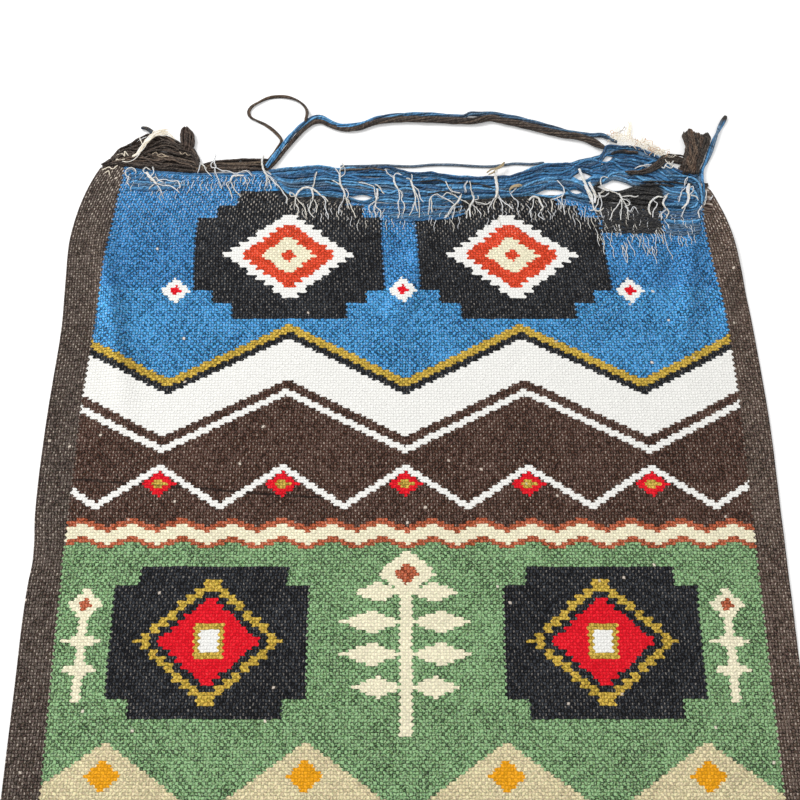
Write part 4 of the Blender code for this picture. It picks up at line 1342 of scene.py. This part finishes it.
# %% Lines of the threads and knots
THREAD = 1.05  # a cotton warp thread
STUB = 2.1  # a few of them wound together
STUB_TURN = 17.0  # length in which the threads of a stub turn once
STRAY_FIBRE = 0.5  # a fibre that has come loose from its thread
THREAD_STEP = 1.7  # distance between the rings of a thread
WEFTS_TOP = 6.4  # height of the loose wefts, on which the threads lie
THREADS = [
    # thickness, then the places of the line across and up
    (THREAD, (-312, 489), (-314, 496), (-308, 500), (-302, 496), (-302, 493)),
    (THREAD, (-312, 489), (-309, 489), (-311, 482), (-308, 478)),
    (3.2, (-290, 494), (-286, 488), (-281, 483), (-277, 479)),
    (THREAD, (-290, 492), (-294, 496), (-291, 500), (-286, 497)),
    (THREAD, (-287, 489), (-282, 493), (-284, 501)),
    (THREAD, (-284, 486), (-279, 489), (-275, 484), (-270, 482)),
    (THREAD, (-278, 483), (-270, 486), (-262, 483), (-255, 484), (-252, 479), (-252, 474)),
    (THREAD, (-278, 481), (-270, 478), (-262, 477), (-254, 471), (-252, 469)),
    (THREAD, (-279, 480), (-274, 474), (-271, 468)),
    (THREAD, (-280, 480), (-284, 477), (-286, 473)),
    (THREAD, (-231, 506), (-231, 501), (-233, 493)),
    (THREAD, (-231, 506), (-226, 502), (-223, 495), (-217, 489)),
    (THREAD, (-215, 509), (-219, 504), (-217, 500), (-213, 500), (-215, 506), (-214, 518)),
    (THREAD, (-214, 500), (-206, 496), (-198, 495), (-191, 492), (-184, 495), (-177, 495), (-172, 489)),
    (THREAD, (-214, 500), (-213, 493), (-209, 483), (-205, 474)),
    (STUB, (-196, 483), (-194, 489), (-189, 490), (-181, 490)),
    (THREAD, (-196, 484), (-200, 482), (-196, 471), (-193, 462)),
    (THREAD, (-196, 483), (-192, 474), (-188, 469), (-183, 464)),
    (THREAD, (-181, 489), (-179, 484), (-182, 478)),
    (STUB, (-160, 515), (-162, 508), (-161, 501), (-158, 493), (-153, 488)),
    (THREAD, (-159, 497), (-156, 487), (-157, 477)),
    (THREAD, (-153, 488), (-144, 478), (-137, 469), (-133, 462), (-133, 455)),
    (THREAD, (-154, 490), (-149, 485), (-145, 477)),
    (THREAD, (-158, 493), (-153, 483), (-151, 474)),
    (STUB, (-123, 463), (-120, 469), (-114, 474), (-108, 474), (-102, 471), (-95, 464)),
    (THREAD, (-105, 473), (-103, 481), (-101, 495)),
    (STUB, (-106, 473), (-104, 466), (-104, 460)),
    (THREAD, (-123, 464), (-128, 464), (-130, 468), (-126, 467), (-121, 460), (-113, 451)),
    (THREAD, (-123, 463), (-123, 456), (-120, 449), (-120, 441)),
    (THREAD, (-104, 461), (-107, 453), (-108, 447), (-102, 438)),
    (THREAD, (-103, 460), (-99, 453), (-100, 444)),
    (THREAD, (-95, 465), (-90, 459), (-90, 449), (-87, 441), (-87, 436)),
    (THREAD, (-94, 464), (-90, 462), (-87, 457)),
    (THREAD, (-113, 451), (-111, 444), (-111, 437)),
    (STUB, (-75, 490), (-74, 479), (-70, 470), (-68, 462)),
    (THREAD, (-75, 490), (-74, 498), (-71, 502), (-73, 505)),
    (THREAD, (-74, 488), (-78, 497), (-80, 499)),
    (THREAD, (-74, 487), (-69, 493), (-70, 500)),
    (THREAD, (-74, 478), (-78, 481), (-83, 484)),
    (THREAD, (-69, 469), (-71, 458), (-75, 450), (-75, 442)),
    (THREAD, (-68, 463), (-63, 455), (-59, 445), (-56, 438)),
    (THREAD, (-68, 463), (-66, 454), (-64, 449)),
    (THREAD, (-69, 474), (-65, 468), (-66, 461)),
    (STUB, (-33, 473), (-33, 465), (-35, 456)),
    (THREAD, (-34, 460), (-36, 469), (-37, 475), (-44, 479), (-54, 481)),
    (THREAD, (-36, 479), (-31, 475), (-25, 466)),
    (THREAD, (-35, 458), (-42, 452), (-41, 443)),
    (THREAD, (-35, 456), (-36, 448), (-34, 438)),
    (THREAD, (-32, 463), (-35, 453), (-29, 445), (-30, 437)),
    (STUB, (-15, 488), (-14, 480), (-10, 472)),
    (THREAD, (-15, 487), (-21, 492), (-25, 498)),
    (THREAD, (-15, 488), (-12, 492), (-6, 490)),
    (THREAD, (-10, 473), (-8, 466), (-10, 454), (-9, 445), (-10, 437)),
    (THREAD, (-9, 472), (-6, 467), (-6, 459), (-3, 454), (-5, 442)),
    (STUB, (4, 483), (6, 476), (9, 468)),
    (THREAD, (4, 482), (2, 486), (-1, 487)),
    (THREAD, (5, 483), (6, 488), (5, 491)),
    (THREAD, (6, 474), (9, 464), (8, 454), (5, 446), (2, 440)),
    (THREAD, (8, 471), (12, 461), (13, 451), (13, 438)),
    (THREAD, (7, 477), (12, 471), (14, 462), (18, 456)),
    (THREAD, (9, 464), (9, 454), (11, 445)),
    (THREAD, (23, 440), (24, 451), (26, 463), (32, 466), (39, 463), (43, 468), (49, 467)),
    (THREAD, (38, 463), (45, 459), (52, 454)),
    (THREAD, (26, 463), (27, 453), (27, 443)),
    (THREAD, (42, 483), (46, 474), (49, 470), (59, 468)),
    (THREAD, (49, 467), (57, 461), (62, 458), (69, 454)),
    (STUB, (59, 464), (57, 459), (51, 452)),
    (THREAD, (58, 462), (60, 467)),
    (THREAD, (54, 456), (48, 449), (42, 437)),
    (THREAD, (52, 453), (51, 445), (49, 436)),
    (THREAD, (51, 452), (46, 443), (40, 437)),
    (STUB, (73, 464), (73, 459), (69, 452), (69, 438)),
    (THREAD, (73, 462), (71, 471), (69, 483)),
    (THREAD, (67, 483), (64, 477), (65, 468)),
    (THREAD, (73, 459), (78, 460), (78, 465)),
    (THREAD, (70, 452), (66, 447), (65, 437)),
    (THREAD, (71, 454), (76, 450), (81, 442)),
    (THREAD, (74, 458), (81, 456), (88, 455), (92, 458)),
    (3.2, (99, 497), (98, 487), (99, 478), (99, 467), (97, 461)),
    (THREAD, (98, 464), (93, 456), (90, 450), (89, 443)),
    (THREAD, (100, 466), (105, 458), (111, 453), (116, 448)),
    (THREAD, (99, 464), (104, 456), (105, 447)),
    (THREAD, (98, 462), (95, 454), (96, 448)),
    (THREAD, (127, 476), (122, 477), (119, 472), (114, 468), (116, 463), (122, 457), (122, 451)),
    (STUB, (134, 459), (138, 463), (144, 462), (147, 455), (149, 450), (146, 446)),
    (THREAD, (146, 446), (144, 441), (150, 435)),
    (THREAD, (139, 462), (139, 454), (135, 445), (136, 438)),
    (THREAD, (166, 484), (170, 478), (173, 474), (172, 466), (165, 462), (158, 460)),
    (THREAD, (172, 466), (170, 459), (172, 451), (173, 442)),
    (THREAD, (165, 462), (169, 455), (168, 448)),
    (THREAD, (159, 460), (160, 453), (158, 445)),
    (THREAD, (223, 487), (217, 488), (214, 483), (215, 476), (218, 473), (212, 466)),
    (THREAD, (217, 474), (225, 470), (232, 467), (236, 464)),
    (STUB, (211, 468), (212, 465), (213, 461)),
    (THREAD, (212, 464), (218, 464), (223, 468)),
    (THREAD, (211, 465), (206, 459), (200, 457)),
    (THREAD, (212, 464), (209, 454), (204, 447), (200, 447)),
    (THREAD, (213, 463), (214, 454), (212, 446), (214, 438)),
    (STUB, (233, 467), (235, 463), (237, 458)),
    (THREAD, (236, 463), (244, 464), (250, 463), (255, 464)),
    (THREAD, (237, 460), (243, 459), (244, 454), (239, 452)),
    (THREAD, (235, 460), (231, 452), (226, 445), (222, 435)),
    (THREAD, (236, 460), (236, 452), (234, 443), (234, 435)),
    (THREAD, (237, 459), (241, 451), (242, 443), (242, 435)),
    (THREAD, (239, 452), (245, 446), (249, 451), (252, 448)),
    (STUB, (266, 454), (270, 459), (277, 463), (281, 462)),
    (THREAD, (281, 462), (285, 464), (289, 467)),
    (STUB, (266, 454), (265, 447), (267, 441)),
    (THREAD, (271, 459), (275, 454), (270, 446), (269, 438)),
    (STUB, (286, 464), (281, 455), (284, 448)),
    (THREAD, (284, 448), (279, 443), (278, 435)),
    (THREAD, (284, 449), (287, 444), (283, 437)),
    (2.6, (312, 479), (309, 472), (310, 463), (307, 454), (301, 448)),
    (STUB, (312, 477), (310, 468), (309, 459)),
    (THREAD, (307, 477), (309, 484), (312, 488)),
    (THREAD, (308, 475), (303, 470), (301, 464), (299, 457)),
    (THREAD, (312, 474), (316, 476), (315, 470), (312, 466)),
    (THREAD, (306, 452), (303, 446), (300, 438)),
    (THREAD, (312, 465), (317, 464), (321, 459)),
    (THREAD, (330, 472), (330, 466), (328, 458), (327, 453)),
    (THREAD, (338, 466), (334, 460)),
    (THREAD, (324, 453), (320, 445), (320, 437)),
    (THREAD, (313, 496), (310, 494)),
    (THREAD, (273, 504), (265, 503), (258, 501), (253, 499)),
    (THREAD, (271, 501), (266, 502), (259, 501), (253, 498)),
    (THREAD, (282, 501), (286, 499), (290, 505), (293, 504), (298, 508)),
    (THREAD, (287, 503), (293, 499), (300, 503), (304, 500)),
    (THREAD, (292, 508), (294, 503), (298, 501)),
    # the strap of three thick threads beside the gap
    (2.6, (191, 498), (194, 488), (198, 476), (203, 463), (204, 453)),
    (2.8, (201, 481), (204, 473), (207, 464), (206, 455)),
    (2.2, (196, 478), (200, 466), (203, 456)),
    (1.6, (204, 453), (206, 447), (211, 446), (216, 450)),
]
CREAM_WRAP = [
    [(88, 492), (93, 496), (99, 498), (106, 503), (109, 506)],
    [(90, 490), (95, 492), (99, 496), (104, 499), (108, 503)],
    [(113, 469), (115, 474), (122, 477), (127, 476)],
    [(114, 471), (118, 475), (124, 475)],
]
COTTONS = ["#ffffff", "#f6f0e2", "#fffdf6", "#f2f5f8"]
print(len(THREADS), "threads and stubs")

# %% Lay the threads and stubs


def above(x, y):
    """The height at which a thread lies on what is below it."""
    past = y - end_of_weave(x)
    over = min(1, max(0, (past + 3) / 6))
    cloth_top = CLOTH_THICK + fold_height(x, y) + 2.0 * min(1, max(0, (past + 40) / 12))
    return cloth_top + (WEFTS_TOP - cloth_top) * over


bm = start_yarn()
for thick, *places in THREADS:
    line = [(x, y, above(x, y) + thick / 2) for x, y in places]
    if thick > THREAD:
        # three threads wound together
        line = route(line, THREAD_STEP)
        offset = 0.3 * thick
        strands(bm, line, 3, 0.58 * thick, offset, offset, COTTONS, turn_length=STUB_TURN, sides=5)
    else:
        # one thread, with a stray fibre that wanders beside it
        for wide, crimp, sides in ((thick, 0.9, 5), (STRAY_FIBRE, 2.8, 4)):
            dye = tinted(chance.choice(COTTONS), 0.06)
            single(bm, line, wide, dye, crimp=crimp, step=THREAD_STEP, sides=sides)
for line in CREAM_WRAP:
    line = [(x, y, above(x, y) + 2.4) for x, y in line]
    single(bm, line, 2.0, tinted("#c9b48c"), crimp=0.6, step=THREAD_STEP, sides=5)
knots = end_yarns(bm, "knotted_warp_ends", cotton_thread)
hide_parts("warp_ends")

# %% [markdown]
# ## Warp floats
# In the last centimetres the wefts have slipped apart, so the warp lies bare between them:
# short wavy lengths of thread that rise out of the weave and dive back into it.

# %% Bare warp near the end
FLOAT_ZONES = [
    # from x, to x, depth below the weave's end, threads, shortest, longest
    (-130, -62, 24, 12, 5, 12),
    (-62, 62, 26, 26, 6, 16),
    (62, 173, 32, 28, 5, 13),
    (173, 205, 34, 10, 8, 20),
    (205, 284, 60, 62, 7, 24),
    (284, 314, 44, 22, 5, 15),
    (-314, -235, 30, 26, 5, 12),
    (-235, -150, 22, 16, 5, 13),
]
FLOAT_THREAD = 0.75  # a bare warp thread, drawn thin

bm = start_yarn()
for start, end, depth, count, shortest, longest in FLOAT_ZONES:
    for k in range(count):
        x = start + (end - start) * (k + chance.uniform(0.1, 0.9)) / count
        top = end_of_weave(x) - chance.uniform(0, depth * 0.8)
        reach = chance.uniform(shortest, longest)
        lean = 0.2 * x / 330 + chance.uniform(-0.14, 0.14)
        line = []
        for part in (0, 0.2, 0.4, 0.6, 0.8, 1):
            y = top - reach * part
            aside = x + lean * reach * part + 0.9 * math.sin(7 * part + k)
            rise = 1.9 * math.sin(math.pi * min(1, part + 0.1)) ** 0.4
            line.append((aside, y, CLOTH_THICK + fold_height(aside, y) - 0.2 + rise))
        dye = tinted(chance.choice(COTTONS), 0.08)
        single(bm, line, FLOAT_THREAD, dye, crimp=0.7, step=2.0, sides=4)
floats = end_yarns(bm, "bare_warp", cotton_thread)
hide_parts("warp_ends")

# %% [markdown]
# ## Wisps
# A lock of cream cotton lies across the hump, cream fluff has gathered at the right, and a
# dark end of wool hooks out at the left. Loose fibres are just thin curly yarns.

# %% Lines of the wisps
CREAM_LOCK = [
    (-270.5, 543.6, 7.6), (-274.0, 543.0, 9.0), (-279.5, 541.0, 10.4), (-285.8, 536.9, 11.2),
    (-291.4, 531.0, 11.2), (-295.4, 524.6, 10.8), (-298.8, 518.4, 10.4), (-302.4, 514.6, 9.6),
    (-306.6, 513.4, 8.4),
]
LOCK_TAIL = [
    (-292, 531, 11), (-295, 524.6, 10.4), (-298.8, 515.2, 9.8), (-305.6, 508.1, 8.6),
    (-312, 506.6, 7.6), (-318, 508.0, 6.8),
]
LOCK_BRANCH = [(-300.2, 537, 9.4), (-299.5, 534.0, 10.2), (-296.6, 528.0, 11), (-295, 523, 10.8)]
LOCK_PARTS = [
    # line, threads, how far they wander, thickness of a thread
    (CREAM_LOCK, 26, 6.0, 0.75),
    (LOCK_TAIL, 3, 1.4, 0.8),
    (LOCK_BRANCH, 3, 1.4, 0.8),
]
CREAMS = ["#fffcf2", "#ffffff", "#f4ecd8"]
LOCK_CURLS = [
    [(-328, 505.5, 5.4), (-323.1, 513.2, 7.0), (-325.1, 515.4, 7.0), (-318.7, 516.4, 7.8),
     (-315.7, 513.2, 8.2), (-316.2, 519.6, 8.6), (-311, 513.4, 8.8)],
    [(-332, 509, 5.4), (-327, 511, 6.6), (-321, 509, 7.4), (-315, 510.5, 7.8)],
    [(-340, 498, 4.6), (-334, 501, 5.4), (-329, 499, 5.6), (-323, 503, 6.4)],
    [(-337, 494, 4.6), (-333, 497, 5.0), (-331, 491, 4.8)],
    [(-264, 538.5, 7.0), (-268, 542.5, 8.4), (-273, 545, 9.2), (-279, 545.5, 9.6)],
    [(-262, 536.5, 6.4), (-266.5, 540, 7.6), (-271, 541.5, 8.8)],
]
FLUFF_FIBRES = 160
FLUFF_TIP_FIBRES = 8  # these stand out as one wisp
CREAM_FLUFF = [
    (226, 541.0, 3.0), (233, 543.0, 4.2), (241, 543.4, 4.8), (250, 541.4, 5.0),
    (261, 537.4, 4.6), (272, 530.6, 4.2), (283, 522.6, 3.6), (292, 518.4, 3.0),
]
DARK_END = [
    (-284.6, 539, 8.6), (-288.0, 545.4, 6.8), (-293.0, 550.4, 4.8), (-297.6, 553.0, 3.2),
    (-302.0, 553.6, 2.4),
]
DARK_WOOLS = ["#23272f", "#2e2621", "#222d3a"]
print("a lock of", sum(part[1] for part in LOCK_PARTS), "threads")

# %% Cream lock
bm = start_yarn()
for rows, count, spread, thick in LOCK_PARTS:
    line = route(rows, 2.5)
    for k in range(count):
        own = chance.uniform(0, 100)
        placed = []
        for i, point in enumerate(line):
            part = i / (len(line) - 1)
            wave = noise.noise_vector(Vector((i / 6, own, 0))) * spread * (1.3 - part)
            placed.append(point + Vector((wave.x, wave.y, 0.5 * abs(wave.z))))
        if rows is CREAM_LOCK and k % 4:
            # three threads in four start a little later, so that the lock's end is ragged
            placed = placed[chance.randrange(0, 4) :]
        lay_yarn(bm, placed, thick, tinted(chance.choice(CREAMS), 0.06), sides=5)
for rows in LOCK_CURLS:
    single(bm, rows, 1.1, tinted("#e6dcc6"), crimp=0.9, step=1.8, sides=5)
lock = end_yarns(bm, "cream_lock_threads", cotton_fluff)
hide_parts("cream_lock")

# %% Cream fluff
CURL_STEP = 1.7  # distance between the rings of a curly fibre


def curl(start, heading, length, rise, own, sway):
    """Points of a fibre that wanders from a start in a heading."""
    points = []
    here = Vector(start)
    angle = math.atan2(heading[1], heading[0])
    for k in range(int(length / CURL_STEP) + 1):
        points.append(here.copy())
        run = k * CURL_STEP
        bend = angle + sway * noise.noise(Vector((run / 9, own, 0)))
        here += Vector((math.cos(bend), math.sin(bend), 0)) * CURL_STEP
        here.z = start[2] + rise * math.sin(math.pi * min(1, run / length))
    return points


bm = start_yarn()
line = route(CREAM_FLUFF, 1.0)
for k in range(FLUFF_FIBRES):
    here = chance.choice(line)
    aside = Vector((chance.uniform(-3, 3), chance.uniform(-6, 2), chance.uniform(-1.5, 2.5)))
    heading = (chance.uniform(-1, 1), chance.uniform(-0.7, 0.7))
    points = curl(here + aside, heading, chance.uniform(7, 20), 1.2, chance.uniform(0, 100), 4.5)
    # most fibres are cream, one in six is tan and one in thirteen dark brown
    shade = "#b5793c" if k % 6 == 0 else "#fff8ea"
    if k % 13 == 3:
        shade = "#4a2d1a"
    lay_yarn(bm, points, chance.uniform(0.35, 0.8), tinted(shade, 0.06), sides=4)
for k in range(FLUFF_TIP_FIBRES):
    start = Vector((251 + chance.uniform(-2, 2), 543, 3))
    points = curl(start, (0.2, 1), chance.uniform(12, 22), 0.5, chance.uniform(0, 100), 0.8)
    lay_yarn(bm, points, 0.7, tinted("#fbf3df", 0.05), sides=4)
fluff = end_yarns(bm, "cream_fluff_fibres", cotton_fluff)
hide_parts("cream_fluff")

# %% Dark hook
bm = start_yarn()
for k in range(6):
    own = chance.uniform(0, 100)
    placed = []
    for i, point in enumerate(route(DARK_END, 2.0)):
        # the strands are wide apart at the start and meet at the tip
        away = max(0.8, 4.4 - i * 0.4)
        placed.append(point + noise.noise_vector(Vector((i / 6, own, 0))) * away)
    lay_yarn(bm, placed, 3.4, tinted(chance.choice(DARK_WOOLS)))
hook = end_yarns(bm, "dark_end_yarn", wool_yarn)
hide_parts("dark_end")
